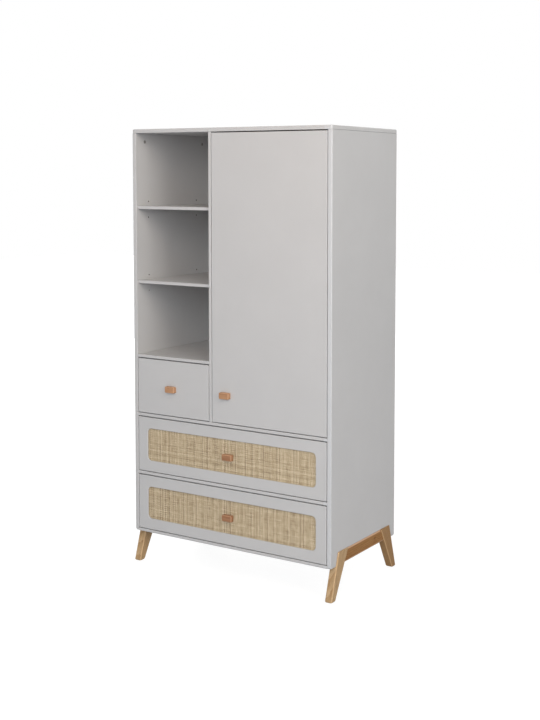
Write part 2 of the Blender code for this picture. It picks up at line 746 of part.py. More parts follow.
def add_runner(name, wall_x, inward, middle_z, carrier):
    """A drawer runner: a channel on the case, and a slide on the drawer box that runs in it."""
    half = RUNNER_HEIGHT / 2
    web = SEAT_GAP + RUNNER_SHEET
    mouth = RUNNER_CHANNEL_DEPTH
    lip = half - RUNNER_LIP
    channel = [
        (SEAT_GAP, -half),
        (mouth, -half),
        (mouth, -lip),
        (mouth - RUNNER_SHEET, -lip),
        (mouth - RUNNER_SHEET, RUNNER_SHEET - half),
        (web, RUNNER_SHEET - half),
        (web, half - RUNNER_SHEET),
        (mouth - RUNNER_SHEET, half - RUNNER_SHEET),
        (mouth - RUNNER_SHEET, lip),
        (mouth, lip),
        (mouth, half),
        (SEAT_GAP, half),
    ]
    head_start = web + RUNNER_PLAY
    head_end = head_start + RUNNER_HEAD_DEPTH
    head_half = half - RUNNER_SHEET - RUNNER_PLAY
    stem_half = RUNNER_STEM_HEIGHT / 2
    slide = [
        (head_start, -head_half),
        (head_end, -head_half),
        (head_end, -stem_half),
        (RUNNER_SPACE - SEAT_GAP, -stem_half),
        (RUNNER_SPACE - SEAT_GAP, stem_half),
        (head_end, stem_half),
        (head_end, head_half),
        (head_start, head_half),
    ]
    for kind, section, owner in (("channel", channel, None), ("slide", slide, carrier)):
        outline = [(wall_x + inward * out, middle_z + up) for out, up in section]
        bar = prism(outline, 1, front_inner_y + RUNNER_START, box_end - RUNNER_END)
        add_piece(f"{name}_{kind}", bar, ZINC, owner)


def make_drawer(name, opening_left, opening_right, front_low, caned):
    """A drawer in an opening of the case. The carrier is at the middle of its front."""
    low = (opening_left + FRONT_GAP, front_y, front_low)
    high = (opening_right - FRONT_GAP, front_inner_y, front_low + DRAWER_FRONT_HEIGHT)
    centre_x = (low[0] + high[0]) / 2
    centre_z = (low[2] + high[2]) / 2
    carrier = add_carrier(f"{name}_axis", (centre_x, front_y, centre_z))
    face_y = front_y
    if caned:
        face_y = make_caned_front(name, low, high, carrier)
    else:
        add_piece(f"{name}_front", eased_panel(low, high), PAINT, carrier)
    knob_x = centre_x if caned else centre_x + SMALL_KNOB_SHIFT
    make_knob(f"{name}_knob", knob_x, centre_z - DRAWER_KNOB_DROP, face_y, carrier)
    box_low = front_low + BOX_RISE
    box_high = front_low + DRAWER_FRONT_HEIGHT - BOX_DROP
    runner_z = box_low + RUNNER_RISE
    for hand, wall_x, inward in (("left", opening_left, 1), ("right", opening_right, -1)):
        box_x = wall_x + inward * RUNNER_SPACE
        make_box_side(f"{name}_side_{hand}", box_x, inward, box_low, box_high, carrier)
        add_runner(f"{name}_runner_{hand}", wall_x, inward, runner_z, carrier)
    inside_left = opening_left + RUNNER_SPACE + BOX_WALL
    inside_right = opening_right - RUNNER_SPACE - BOX_WALL
    floor_low = box_low + BOX_BOTTOM_RISE
    floor_high = floor_low + BOX_BOTTOM_THICKNESS
    grip = BOX_GROOVE_DEPTH - GROOVE_SLIP
    floor = box(
        (inside_left - grip, box_start, floor_low), (inside_right + grip, box_end, floor_high)
    )
    add_piece(f"{name}_bottom", floor, DRAWER_BOARD, carrier)
    back = box(
        (inside_left + SEAT_GAP, box_end - BOX_WALL, floor_high + SEAT_GAP),
        (inside_right - SEAT_GAP, box_end, box_high),
    )
    add_piece(f"{name}_back", back, DRAWER_BOARD, carrier)


def main():
    for thing in list(bpy.data.objects):
        bpy.data.objects.remove(thing)
    make_case()
    make_leg_frames()
    make_hanging_rail()
    make_door()
    make_drawer("small_drawer", -inner_x, divider_left, small_front_low, caned=False)
    make_drawer("upper_drawer", -inner_x, inner_x, upper_front_low, caned=True)
    make_drawer("lower_drawer", -inner_x, inner_x, lower_front_low, caned=True)


main()
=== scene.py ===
# A wardrobe with open niches, one tall door and three drawers, two of them with cane panels.
import math

import bmesh
import bpy
import numpy as np
from mathutils import Matrix, Vector
from mathutils.geometry import delaunay_2d_cdt


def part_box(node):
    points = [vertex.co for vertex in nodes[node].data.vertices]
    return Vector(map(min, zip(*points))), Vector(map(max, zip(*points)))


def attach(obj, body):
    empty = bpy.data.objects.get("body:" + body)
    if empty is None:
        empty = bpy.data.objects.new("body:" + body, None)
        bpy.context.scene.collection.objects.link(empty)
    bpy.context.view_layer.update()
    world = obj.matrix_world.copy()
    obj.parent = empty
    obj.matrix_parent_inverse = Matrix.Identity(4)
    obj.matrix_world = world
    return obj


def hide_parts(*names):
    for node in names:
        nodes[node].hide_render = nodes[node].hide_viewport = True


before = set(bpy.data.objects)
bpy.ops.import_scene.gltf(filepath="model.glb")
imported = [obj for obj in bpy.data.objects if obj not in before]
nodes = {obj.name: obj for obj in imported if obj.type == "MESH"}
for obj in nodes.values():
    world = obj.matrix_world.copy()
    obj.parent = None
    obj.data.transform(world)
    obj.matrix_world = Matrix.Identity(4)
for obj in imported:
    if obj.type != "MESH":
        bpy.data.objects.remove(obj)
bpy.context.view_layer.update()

print("frame loaded,", len(nodes), "nodes")

lead = 0.0006      # a row of points this far beside each rounding keeps the flat faces flat
seat = 0.0003      # free space between touching boards
hair = 0.00001     # places closer than this count as one
gentleBend = 0.9   # two sides bend gently where the product of their normals is above this
capScale = 1000    # flat faces are divided in millimetres
capWeld = 0.00001  # and points closer than this, in millimetres, become one


def span(node):
    # lowest and highest corner of a node, as two arrays
    low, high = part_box(node)
    return np.array(low), np.array(high)


def pieceName(node):
    first, *rest = node.split("_")
    return first + "".join(word.capitalize() for word in rest)


# Shapes. Points are kept as (u, v, w): an outline lies in u and v and is carried along w.

def quarterTurn(steps=5):
    return np.linspace(0, math.pi / 2, steps + 1)


def roundingMarks(steps=5):
    # sin 2t: 1 in the middle of a rounding, 0 at its two ends and at the points beside them
    return [0, *np.sin(2 * quarterTurn(steps)), 0]


def roundedOutline(corners, steps=6):
    # a corner (u, v, r) becomes centre + r (cos a, sin a), with one more point before and after it
    points = []
    for i, (u, v, r) in enumerate(corners):
        here = np.array((u, v))
        if r == 0:
            points.append(here)
            continue
        back = np.array(corners[i - 1][:2]) - here
        ahead = np.array(corners[(i + 1) % len(corners)][:2]) - here
        back, ahead = back / np.hypot(*back), ahead / np.hypot(*ahead)
        half = math.acos(back @ ahead) / 2
        centre = here + (back + ahead) / np.hypot(*(back + ahead)) * r / math.sin(half)
        start, end = (here + way * r / math.tan(half) for way in (back, ahead))
        first = math.atan2(*(start - centre)[::-1])
        sweep = math.remainder(math.atan2(*(end - centre)[::-1]) - first, math.tau)
        turn = first + sweep * np.linspace(0, 1, steps + 1)
        arc = centre + r * np.c_[np.cos(turn), np.sin(turn)]
        points += [start + back * lead, *arc, end + ahead * lead]
    points = np.array(points)
    u, v = points.T
    area = np.sum(u * np.roll(v, -1) - v * np.roll(u, -1))
    return points if area > 0 else points[::-1]


def rectangle(low, high, r=0.0, steps=6):
    # between two opposite corners, each of its four rounded by r
    (a, b), (c, d) = low, high
    return roundedOutline([(a, b, r), (c, b, r), (c, d, r), (a, d, r)], steps)


def circle(centre, r, sides=16):
    # centre + r (cos a, sin a)
    turn = np.linspace(0, math.tau, sides, endpoint=False)
    return np.array(centre) + r * np.c_[np.cos(turn), np.sin(turn)]


def middles(outline):
    return (outline + np.roll(outline, -1, 0)) / 2


def movedIn(outline, distances):
    # each side moves inwards by its own distance, and a corner to where its two sides then cross:
    # ((p - q c) m + (q - p c) n) / (1 - c c), with the sides' normals m and n, their distances p and
    # q and c = m.n, or, on a gentle bend, (m + n) (p + q) / 2 / (1 + c)
    side = np.roll(outline, -1, 0) - outline
    side = side / np.linalg.norm(side, axis=1)[:, None]
    after = np.c_[-side[:, 1], side[:, 0]]
    before = np.roll(after, 1, 0)
    second = np.broadcast_to(distances, len(outline))
    first = np.roll(second, 1)
    c = (before * after).sum(1)
    gentle = c > gentleBend
    square = np.where(gentle, 1, 1 - c * c)
    crossing = (first - second * c)[:, None] * before + (second - first * c)[:, None] * after
    along = (before + after) * ((first + second) / 2 / (1 + c))[:, None]
    return outline + np.where(gentle[:, None], along, crossing / square[:, None])


def atLevel(outline, level):
    return np.c_[outline, np.broadcast_to(level, len(outline))]


def roundedWall(outline, ends, radii, steps=5):
    # the outline carried from end to end; at each end it moves in by r(1 - sin t) while it
    # still has r(1 - cos t) to go, for t from 0 to a quarter turn
    rings, marks = [], []
    for level, way, r in ((ends[0], 1, radii[0]), (ends[1], -1, radii[1])):
        r = np.broadcast_to(r, len(outline))
        corner = np.maximum(r, np.roll(r, 1))
        part = [atLevel(movedIn(outline, r + lead), level)]
        for t in quarterTurn(steps):
            ring = movedIn(outline, r * (1 - math.sin(t)))
            part.append(atLevel(ring, level + way * corner * (1 - math.cos(t))))
        part.append(atLevel(outline, level + way * (corner + lead)))
        rings += part[::way]
        marks += roundingMarks(steps)[::way]
    return np.array(rings), np.array(marks)


class Shape:
    # grids of points and the faces between them
    def __init__(self):
        self.points, self.marks, self.faces, self.count = [], [], [], 0

    def grid(self, rows, marks=0.0, closed=True):
        rows = np.asarray(rows, float)
        k, n = rows.shape[:2]
        index = self.count + np.arange(k * n).reshape(k, n)
        self.count += k * n
        self.points.append(rows.reshape(-1, 3))
        marks = np.broadcast_to(np.reshape(marks, (-1, 1)), (k, n))
        self.marks.append(marks.reshape(-1))
        here = index if closed else index[:, :-1]
        ahead = np.roll(index, -1, 1) if closed else index[:, 1:]
        quads = np.stack((here[:-1], ahead[:-1], ahead[1:], here[1:]), -1)
        self.faces += quads.reshape(-1, 4).tolist()
        return index

    def cap(self, ring, holes=()):
        # the flat face inside a ring and outside the holes, in triangles between their points
        if not holes:
            self.faces.append(ring.tolist())
            return
        everything = np.concatenate((ring, *holes))
        flat = np.concatenate(self.points)[everything][:, :2] * capScale
        outlines, start = [], 0
        for part in (ring, *holes):
            outlines.append(list(range(start, start + len(part))))
            start += len(part)
        found = delaunay_2d_cdt([Vector(p) for p in flat], [], outlines, 1, capWeld)
        original = np.array([same[0] for same in found[3]])
        # each new face comes with the outlines that it lies in, and the ring is number 0
        kept = [face for face, inside in zip(found[2], found[5]) if list(inside) == [0]]
        self.faces += everything[original[np.array(kept)]].tolist()

    def board(self, outline, ends, radii, holes=(), steps=5):
        # a flat board with rounded edges; a hole is {"outline", "profile", "marks", "opens"}, where
        # the profile gives how much wider the hole is at each level
        rings, marks = roundedWall(outline, ends, radii, steps)
        wall = self.grid(rings, marks)
        near, far = [], []
        for hole in holes:
            rows = [atLevel(movedIn(hole["outline"], -wide), w) for wide, w in hole["profile"]]
            index = self.grid(rows, hole["marks"])
            if hole["opens"] in ("near", "both"):
                near.append(index[0])
            if hole["opens"] in ("far", "both"):
                far.append(index[-1] if hole["opens"] == "both" else index[0])
            if hole["opens"] != "both":
                self.cap(index[-1])
        self.cap(wall[0], near)
        self.cap(wall[-1], far)
        return self


def blindHole(outline, face, depth, opens):
    # depth is signed, from the face into the board; the rim is eased and painted, and the wall and
    # floor below it are marked -1, as bare board, darkened as painted shade in the hole
    ease = math.copysign(seat, depth)
    painted = ease * 1.5
    profile = [(seat, face), (0, face + ease), (0, face + painted), (0, face + depth)]
    return {"outline": outline, "profile": profile, "marks": [0, 0, -1, -1], "opens": opens}


def turned(shape, profile, centre, face, way, sides):
    # a profile of (radius, height) pairs turned about a line along w through the centre
    rows = [atLevel(circle(centre, radius, sides), face + way * height) for radius, height in profile]
    index = shape.grid(rows)
    shape.cap(index[0])
    shape.cap(index[-1])


def smoothObject(name, points, faces, look, values, sharp=40):
    # an object with its faces turned outwards, and values that its material reads at each point
    mesh = bpy.data.meshes.new(name)
    mesh.from_pydata(points.tolist(), [], faces)
    for key, numbers in values.items():
        kind, field = ("FLOAT", "value") if numbers.ndim == 1 else ("FLOAT_VECTOR", "vector")
        stored = mesh.attributes.new(key, kind, "POINT")
        stored.data.foreach_set(field, numbers.astype(np.float32).ravel())
    bm = bmesh.new()
    bm.from_mesh(mesh)
    bmesh.ops.recalc_face_normals(bm, faces=bm.faces[:])
    bm.to_mesh(mesh)
    bm.free()
    mesh.materials.append(look)
    mesh.shade_smooth()
    mesh.set_sharp_from_angle(angle=math.radians(sharp))
    piece = bpy.data.objects.new(name, mesh)
    bpy.context.scene.collection.objects.link(piece)
    return piece


def addPiece(name, shape, look, body, replaced=(), axis=2, grain=None, tone=0.0):
    # axis says which world axis w is, and grain turns world places into the wood's own
    order = {0: (2, 0, 1), 1: (0, 2, 1), 2: (0, 1, 2)}[axis]
    points = np.concatenate(shape.points)[:, order]
    values = {"edge": np.concatenate(shape.marks)}
    if grain is not None:
        values["grain"] = grain(points)
        values["tone"] = np.full(len(points), tone)
    piece = smoothObject(name, points, shape.faces, look, values)
    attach(piece, body)
    if replaced:
        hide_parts(*replaced)


# Materials

class Look:
    # one material and short ways to add nodes to it
    def __init__(self, name):
        self.material = bpy.data.materials.new(name)
        self.material.use_nodes = True
        self.tree = self.material.node_tree
        self.shader = self.tree.nodes["Principled BSDF"]
        self.place = self.add("TexCoord").outputs["Object"]

    def add(self, kind, inputs=(), **settings):
        made = self.tree.nodes.new("ShaderNode" + kind)
        for key, value in settings.items():
            setattr(made, key, value)
        for key, value in dict(inputs).items():
            if isinstance(value, bpy.types.NodeSocket):
                self.tree.links.new(value, made.inputs[key])
            else:
                made.inputs[key].default_value = value
        return made

    def stretched(self, scale, source=None):
        source = self.place if source is None else source
        return self.add("Mapping", {"Vector": source, "Scale": scale}).outputs[0]

    def noise(self, scale, detail=2.0, rough=0.5, source=None, distortion=0.0):
        source = self.place if source is None else source
        inputs = {"Vector": source, "Scale": scale, "Detail": detail, "Roughness": rough}
        return self.add("TexNoise", {**inputs, "Distortion": distortion}).outputs["Fac"]

    def value(self, attribute):
        return self.add("Attribute", attribute_name=attribute).outputs["Fac"]

    def maths(self, kind, a, b=0.0, c=0.0):
        return self.add("Math", {0: a, 1: b, 2: c}, operation=kind).outputs[0]

    def vector(self, kind, a, b, output=0):
        return self.add("VectorMath", {0: a, 1: b}, operation=kind).outputs[output]

    def fit(self, value, low, high, newLow, newHigh):
        inputs = {"Value": value, 1: low, 2: high, 3: newLow, 4: newHigh}
        return self.add("MapRange", inputs).outputs[0]

    def spread(self, noise, low=0, high=1):
        # nearly all of a noise lies between 0.3 and 0.7
        return self.fit(noise, 0.3, 0.7, low, high)

    def mix(self, factor, a, b):
        a, b = ((*x, 1.0) if isinstance(x, tuple) else x for x in (a, b))
        return self.add("Mix", {0: factor, 6: a, 7: b}, data_type="RGBA").outputs[2]

    def ramp(self, factor, stops):
        made = self.add("ValToRGB", {"Fac": factor})
        marks = made.color_ramp.elements
        while len(marks) < len(stops):
            marks.new(1.0)
        for mark, (place, color) in zip(marks, stops):
            mark.position = place
            mark.color = (*color, 1.0)
        return made.outputs["Color"]

    def bump(self, height, distance, strength=1.0, under=None):
        inputs = {"Height": height, "Distance": distance, "Strength": strength}
        if under is not None:
            inputs["Normal"] = under
        return self.add("Bump", inputs).outputs[0]

    def finish(self, color, rough, normal=None, **fixed):
        for key, value in (("Base Color", color), ("Roughness", rough), ("Normal", normal)):
            if isinstance(value, bpy.types.NodeSocket):
                self.tree.links.new(value, self.shader.inputs[key])
            elif value is not None:
                self.shader.inputs[key].default_value = value
        for key, value in fixed.items():
            self.shader.inputs[key.replace("_", " ")].default_value = value
        return self.material


def tint(color, share):
    return tuple(min(1.0, c * share) for c in color)


# Sprayed satin paint: fine orange peel, faint clouds, paler on the rounded edges, where it is thin and as a
# painted highlight
spray = {
    "cloudScale": 5.0, "cloudTints": (0.975, 1.02),
    "speckScale": 260.0, "speckTint": 0.99,
    "thinScale": 38.0,                         # how the thin places follow each other along an edge
    "roughScale": 22.0, "roughLess": 0.05, "roughMore": 0.06,
    "peelHeight": 0.00012, "peelStrength": 0.35,
    "waveScale": 14.0, "waveHeight": 0.0006, "waveStrength": 0.12,
    "chipScale": 900.0,                        # bare chipboard inside the holes, darkened as painted shade
    "chipColors": ((0.05, 0.036, 0.024), (0.11, 0.078, 0.05)),
}
paints = {
    "case": {"color": (0.545, 0.53, 0.521), "edgeColor": (0.6, 0.597, 0.595), "edgeWear": 0.35,
             "rough": 0.46, "peelScale": 620.0,
             "band": (0.585, 0.58, 0.582), "bandStart": (0.44, 0.445)},      # painted highlight, paler from there across
    "front": {"color": (0.545, 0.53, 0.521), "edgeColor": (0.64, 0.64, 0.645), "edgeWear": 0.5,
              "rough": 0.44, "peelScale": 700.0},
}


def satinPaint(name, settings):
    look, color = Look(name), settings["color"]
    clouds = look.spread(look.noise(spray["cloudScale"], 4, 0.6))
    painted = look.mix(clouds, *(tint(color, share) for share in spray["cloudTints"]))
    specks = look.fit(look.noise(spray["speckScale"], 3, 0.6), 0.35, 0.65, 0, 0.5)
    painted = look.mix(specks, painted, tint(color, spray["speckTint"]))
    thin = look.fit(look.noise(spray["thinScale"], 4), 0.35, 0.7, 0.3, 1)
    # the roundings turn paler: thin worn paint, and a painted highlight
    worn = look.maths("MULTIPLY", look.maths("MULTIPLY", look.value("edge"), thin), settings["edgeWear"])
    painted = look.mix(worn, painted, settings["edgeColor"])
    if "band" in settings:
        # a painted highlight: paler only on what faces forwards at the case's right end, where the side
        # panel's front edge catches the light
        facing = look.add("SeparateXYZ", {0: look.add("NewGeometry").outputs["Normal"]}).outputs["Y"]
        across = look.add("SeparateXYZ", {0: look.place}).outputs["X"]
        forwards, atEnd = look.fit(facing, -0.5, -0.85, 0, 1), look.fit(across, *settings["bandStart"], 0, 1)
        painted = look.mix(look.maths("MULTIPLY", forwards, atEnd), painted, settings["band"])
    # bare board in the holes, darker than raw board: painted shade
    chipsAndShade = look.mix(look.fit(look.noise(spray["chipScale"], 3), 0.35, 0.65, 0, 1), *spray["chipColors"])
    painted = look.mix(look.fit(look.value("edge"), 0, -1, 0, 1), painted, chipsAndShade)
    rough = look.spread(look.noise(spray["roughScale"], 5, 0.65), settings["rough"] - spray["roughLess"],
                        settings["rough"] + spray["roughMore"])
    peel = look.bump(look.noise(settings["peelScale"], 2), spray["peelHeight"], spray["peelStrength"])
    waves = look.bump(look.noise(spray["waveScale"], 2), spray["waveHeight"], spray["waveStrength"], peel)
    return look.finish(painted, rough, waves)


casePaint = satinPaint("casePaint", paints["case"])
frontPaint = satinPaint("frontPaint", paints["front"])


# Solid wood: growth rings across the grain, long fibres, short dark pores and a cloudy tone, and paler
# rounded edges, worn and painted as a highlight.
# It reads the piece's own "grain" places, whose third value runs along the wood.
woods = {
    "leg": {
        "rings": 52.0, "sway": 0.02, "rough": 0.58, "sheen": 0.2,
        "tones": [(0.0, (0.63, 0.44, 0.26)), (0.5, (0.49, 0.325, 0.172)), (1.0, (0.33, 0.185, 0.08))],
        "fibre": (0.34, 0.2, 0.09), "pore": (0.16, 0.085, 0.04), "pores": 0.6,
        "edgeColor": (0.68, 0.46, 0.26), "edgeWear": 0.5,
    },
    "rail": {
        "rings": 38.0, "sway": 0.03, "rough": 0.6, "sheen": 0.15,
        "tones": [(0.0, (0.44, 0.235, 0.09)), (0.5, (0.335, 0.165, 0.057)), (1.0, (0.215, 0.095, 0.03))],
        "fibre": (0.2, 0.09, 0.03), "pore": (0.1, 0.045, 0.015), "pores": 0.6,
        "edgeColor": (0.66, 0.42, 0.27), "edgeWear": 0.9,
        "knot": (-0.06, -0.0534, 0.1595),      # in the wood's own places
    },
    "knob": {
        "rings": 70.0, "sway": 0.012, "rough": 0.5, "sheen": 0.3,
        "tones": [(0.0, (0.55, 0.31, 0.17)), (0.5, (0.45, 0.24, 0.125)), (1.0, (0.32, 0.155, 0.078))],
        "fibre": (0.3, 0.12, 0.055), "pore": (0.2, 0.08, 0.04), "pores": 0.5,
        "edgeColor": (0.6, 0.36, 0.22), "edgeWear": 0.45,
    },
}
woodGrain = {
    "bend": (1, 1, 0.12), "swayScale": 14.0,                      # how the rings wander
    "waver": 1.2, "waverDetail": 3.0, "waverScale": 2.0,
    "fibres": (900, 900, 22), "streaks": (130, 130, 5),           # scales across, through and along
    "pores": (1500, 1500, 75),
    "clouds": (1, 1, 0.35), "cloudScale": 16.0,
    "ringShare": 0.34, "streakShare": 0.55, "cloudShare": 0.35,   # of the tone
    "toneReach": (0.32, 0.95),
    "fibreReach": (0.42, 0.66), "fibreShare": 0.35, "fibreHeight": 0.00015,
    "poreReach": (0.62, 0.72), "pitReach": (0.6, 0.74), "pitDepth": 0.00025,
    "roughLess": 0.06, "roughMore": 0.08,
    "knotShape": (1, 0.3, 0.55), "knotCore": (0.002, 0.0055), "knotDark": 0.6,
    "knotReach": (0.003, 0.022), "knotSwell": 0.016,
}


def solidWood(name, settings):
    look = Look(name)
    grain = look.add("Attribute", attribute_name="grain").outputs["Vector"]
    bent = look.stretched(woodGrain["bend"], grain)
    sway = look.add("TexNoise", {"Vector": bent, "Scale": woodGrain["swayScale"], "Detail": 2.0})
    swayed = look.vector("SUBTRACT", sway.outputs["Color"], (0.5, 0.5, 0.5))
    swayed = look.add("VectorMath", {0: swayed, "Scale": settings["sway"]}, operation="SCALE").outputs[0]
    place = look.vector("ADD", bent, swayed)
    if "knot" in settings:
        # the rings swell around a knot, which is darker in its middle
        near = look.stretched(woodGrain["knotShape"], grain)
        away = look.vector("DISTANCE", near, settings["knot"], "Value")
        swelling = look.fit(away, *woodGrain["knotReach"], woodGrain["knotSwell"], 0)
        swell = look.add("CombineXYZ", {0: swelling}).outputs[0]
        place = look.vector("ADD", place, swell)
    wave = {"Vector": place, "Scale": settings["rings"], "Distortion": woodGrain["waver"],
            "Detail": woodGrain["waverDetail"], "Detail Scale": woodGrain["waverScale"]}
    rings = look.add("TexWave", wave, bands_direction="X", wave_profile="SAW").outputs["Fac"]
    fibres = look.noise(1.0, 3, 0.6, look.stretched(woodGrain["fibres"], grain))
    streaks = look.noise(1.0, 3, 0.55, look.stretched(woodGrain["streaks"], grain))
    pores = look.noise(1.0, 1, 0.5, look.stretched(woodGrain["pores"], grain))
    clouds = look.noise(woodGrain["cloudScale"], 3, 0.5, look.stretched(woodGrain["clouds"], grain))
    tone = look.maths("MULTIPLY", streaks, woodGrain["streakShare"])
    tone = look.maths("MULTIPLY_ADD", rings, woodGrain["ringShare"], tone)
    tone = look.maths("MULTIPLY_ADD", clouds, woodGrain["cloudShare"], tone)
    tone = look.maths("ADD", tone, look.value("tone"))
    if "knot" in settings:
        tone = look.maths("ADD", tone, look.fit(away, *woodGrain["knotCore"], woodGrain["knotDark"], 0))
    color = look.ramp(look.fit(tone, *woodGrain["toneReach"], 0, 1), settings["tones"])
    fine = look.fit(fibres, *woodGrain["fibreReach"], 0, woodGrain["fibreShare"])
    color = look.mix(fine, color, settings["fibre"])
    color = look.mix(look.fit(pores, *woodGrain["poreReach"], 0, settings["pores"]), color, settings["pore"])
    # paler rounded edges: wear, and a painted highlight
    worn = look.maths("MULTIPLY", look.value("edge"), settings["edgeWear"])
    color = look.mix(worn, color, settings["edgeColor"])
    rough = look.spread(streaks, settings["rough"] - woodGrain["roughLess"],
                        settings["rough"] + woodGrain["roughMore"])
    deep = look.bump(look.fit(pores, *woodGrain["pitReach"], 1, 0), woodGrain["pitDepth"], 0.5)
    raised = look.bump(fibres, woodGrain["fibreHeight"], 0.4, deep)
    return look.finish(color, rough, raised, Specular_IOR_Level=settings["sheen"])


legWood = solidWood("legWood", woods["leg"])
railWood = solidWood("railWood", woods["rail"])
knobWood = solidWood("knobWood", woods["knob"])


# Split cane: a tone for each strand, streaks along it, a slightly glossy rind.
# The piece's "grain" holds (across, strand number, along).
cane = {
    "tones": [(0.0, (0.7, 0.585, 0.405)), (0.35, (0.545, 0.435, 0.285)), (0.65, (0.405, 0.3, 0.18)),
              (1.0, (0.19, 0.12, 0.07))],
    "streaks": (2500, 37, 18), "streakShare": 0.5,
    "patches": (40, 11, 24), "patchShare": 2.4,
    "toneReach": (-0.2, 1.2),                  # a strand's tone, from pale to dark
    "rough": (0.42, 0.6), "streakHeight": 0.0001,
}


def splitCane(settings):
    look = Look("splitCane")
    grain = look.add("Attribute", attribute_name="grain").outputs["Vector"]
    streaks = look.noise(1.0, 3, 0.6, look.stretched(settings["streaks"], grain))
    patches = look.noise(1.0, 2, 0.5, look.stretched(settings["patches"], grain))
    tone = look.value("tone")
    for noise, share in ((patches, settings["patchShare"]), (streaks, settings["streakShare"])):
        tone = look.maths("MULTIPLY_ADD", look.maths("SUBTRACT", noise, 0.5), share, tone)
    color = look.ramp(look.fit(tone, *settings["toneReach"], 0, 1), settings["tones"])
    rough = look.spread(streaks, *settings["rough"])
    return look.finish(color, rough, look.bump(streaks, settings["streakHeight"], 0.5))


caneLook = splitCane(cane)


# Thin boards of pressed fibre: behind the weave, and the back of the case
fibreBoards = {
    "backBoard": {"color": (0.52, 0.505, 0.49), "rough": 0.6, "cloudy": 0.012},
    "caneBoard": {"color": (0.34, 0.26, 0.16), "rough": 0.75, "cloudy": 0.05},
}
pressedFibre = {"scale": 420.0, "tangle": 1.5, "tint": 0.86, "height": 0.0002, "cloudScale": 9.0,
                "roughLess": 0.04, "roughMore": 0.06}


def fibreBoard(name, color, rough, cloudy):
    look = Look(name)
    fibre = look.noise(pressedFibre["scale"], 4, 0.7, distortion=pressedFibre["tangle"])
    clouds = look.spread(look.noise(pressedFibre["cloudScale"], 3, 0.6))
    tone = look.mix(clouds, tint(color, 1 - cloudy), tint(color, 1 + cloudy))
    tone = look.mix(look.fit(fibre, 0.4, 0.75, 0, 0.5), tone, tint(color, pressedFibre["tint"]))
    gloss = look.spread(fibre, rough - pressedFibre["roughLess"], rough + pressedFibre["roughMore"])
    return look.finish(tone, gloss, look.bump(fibre, pressedFibre["height"], 0.4))


backBoardLook = fibreBoard("backBoard", **fibreBoards["backBoard"])
caneBoardLook = fibreBoard("caneBoard", **fibreBoards["caneBoard"])


# Foil-wrapped drawer boards: a faint linen grain pressed into a matt foil
foil = {"colors": ((0.58, 0.57, 0.555), (0.62, 0.61, 0.6)), "threadColor": (0.54, 0.53, 0.515),
        "cloudScale": 7.0, "threads": (1400, 40, 1400), "threadHeight": 0.0001, "rough": (0.48, 0.6)}


def foilBoard(settings):
    look = Look("foilBoard")
    threads = look.noise(1.0, 3, 0.6, look.stretched(settings["threads"]))
    color = look.mix(look.spread(look.noise(settings["cloudScale"], 3)), *settings["colors"])
    color = look.mix(look.fit(threads, 0.35, 0.7, 0, 0.5), color, settings["threadColor"])
    rough = look.spread(threads, *settings["rough"])
    return look.finish(color, rough, look.bump(threads, settings["threadHeight"], 0.5))


foilLook = foilBoard(foil)


# Plated steel: fine lines, drawn along the smallest of the three scales, and a cloudy roughness
metals = {
    "zincPlate": {"color": (0.62, 0.62, 0.63), "rough": 0.34, "line": (1600, 30, 1600)},
    "nickelPlate": {"color": (0.68, 0.67, 0.65), "rough": 0.26, "line": (1600, 1600, 60)},
    "chrome": {"color": (0.78, 0.79, 0.8), "rough": 0.1, "line": (20, 1200, 1200)},
    "dullZinc": {"color": (0.36, 0.34, 0.32), "rough": 0.55, "line": (900, 900, 900)},
}
plating = {"cloudScale": 60.0, "cloudTints": (0.92, 1.04), "lineRough": 0.1, "lineHeight": 0.00004,
           "roughLess": 0.06, "roughMore": 0.04}


def platedMetal(name, color, rough, line):
    look = Look(name)
    lines = look.noise(1.0, 3, 0.6, look.stretched(line))
    clouds = look.noise(plating["cloudScale"], 4, 0.6)
    tone = look.mix(look.spread(clouds), *(tint(color, share) for share in plating["cloudTints"]))
    gloss = look.spread(clouds, rough - plating["roughLess"], rough + plating["roughMore"])
    gloss = look.maths("MULTIPLY_ADD", lines, plating["lineRough"], gloss)
    return look.finish(tone, gloss, look.bump(lines, plating["lineHeight"], 0.4), Metallic=1.0)


zincLook, nickelLook, chromeLook, camLook = (platedMetal(name, **metals[name]) for name in metals)
print("materials made")


# Carcass boards
caseBoards = {
    "sideEdge": 0.006,       # rounding of the side panels' outer edges
    "sideFront": 0.004,      # and of their front ones
    "sideCorner": 0.008,
    "topEdge": 0.005,
    "topCorner": 0.007,
    "topLowerEdge": 0.0015,
    "bottomEdge": 0.004,
    "ease": 0.0015,          # eased front edges of the thin boards
    "easeReach": 0.012,      # such an edge stands at most this far behind the case's front
    "crisp": 0.0004,         # all other edges
    "pinInset": 0.077,       # rows of shelf pins, from the case's front and rear edge
    "pinRearInset": 0.107,
    "pinRadius": 0.0025,
    "holeRadius": 0.003,     # the free holes above and below each pin
    "holePitch": 0.0327,
    "holeDepth": 0.008,
    "holeSides": 14,
    "grooveDepth": 0.005,    # the back panel's grooves
    "grooveInset": 0.002,    # the lower one ends this far inside the bottom panel
}
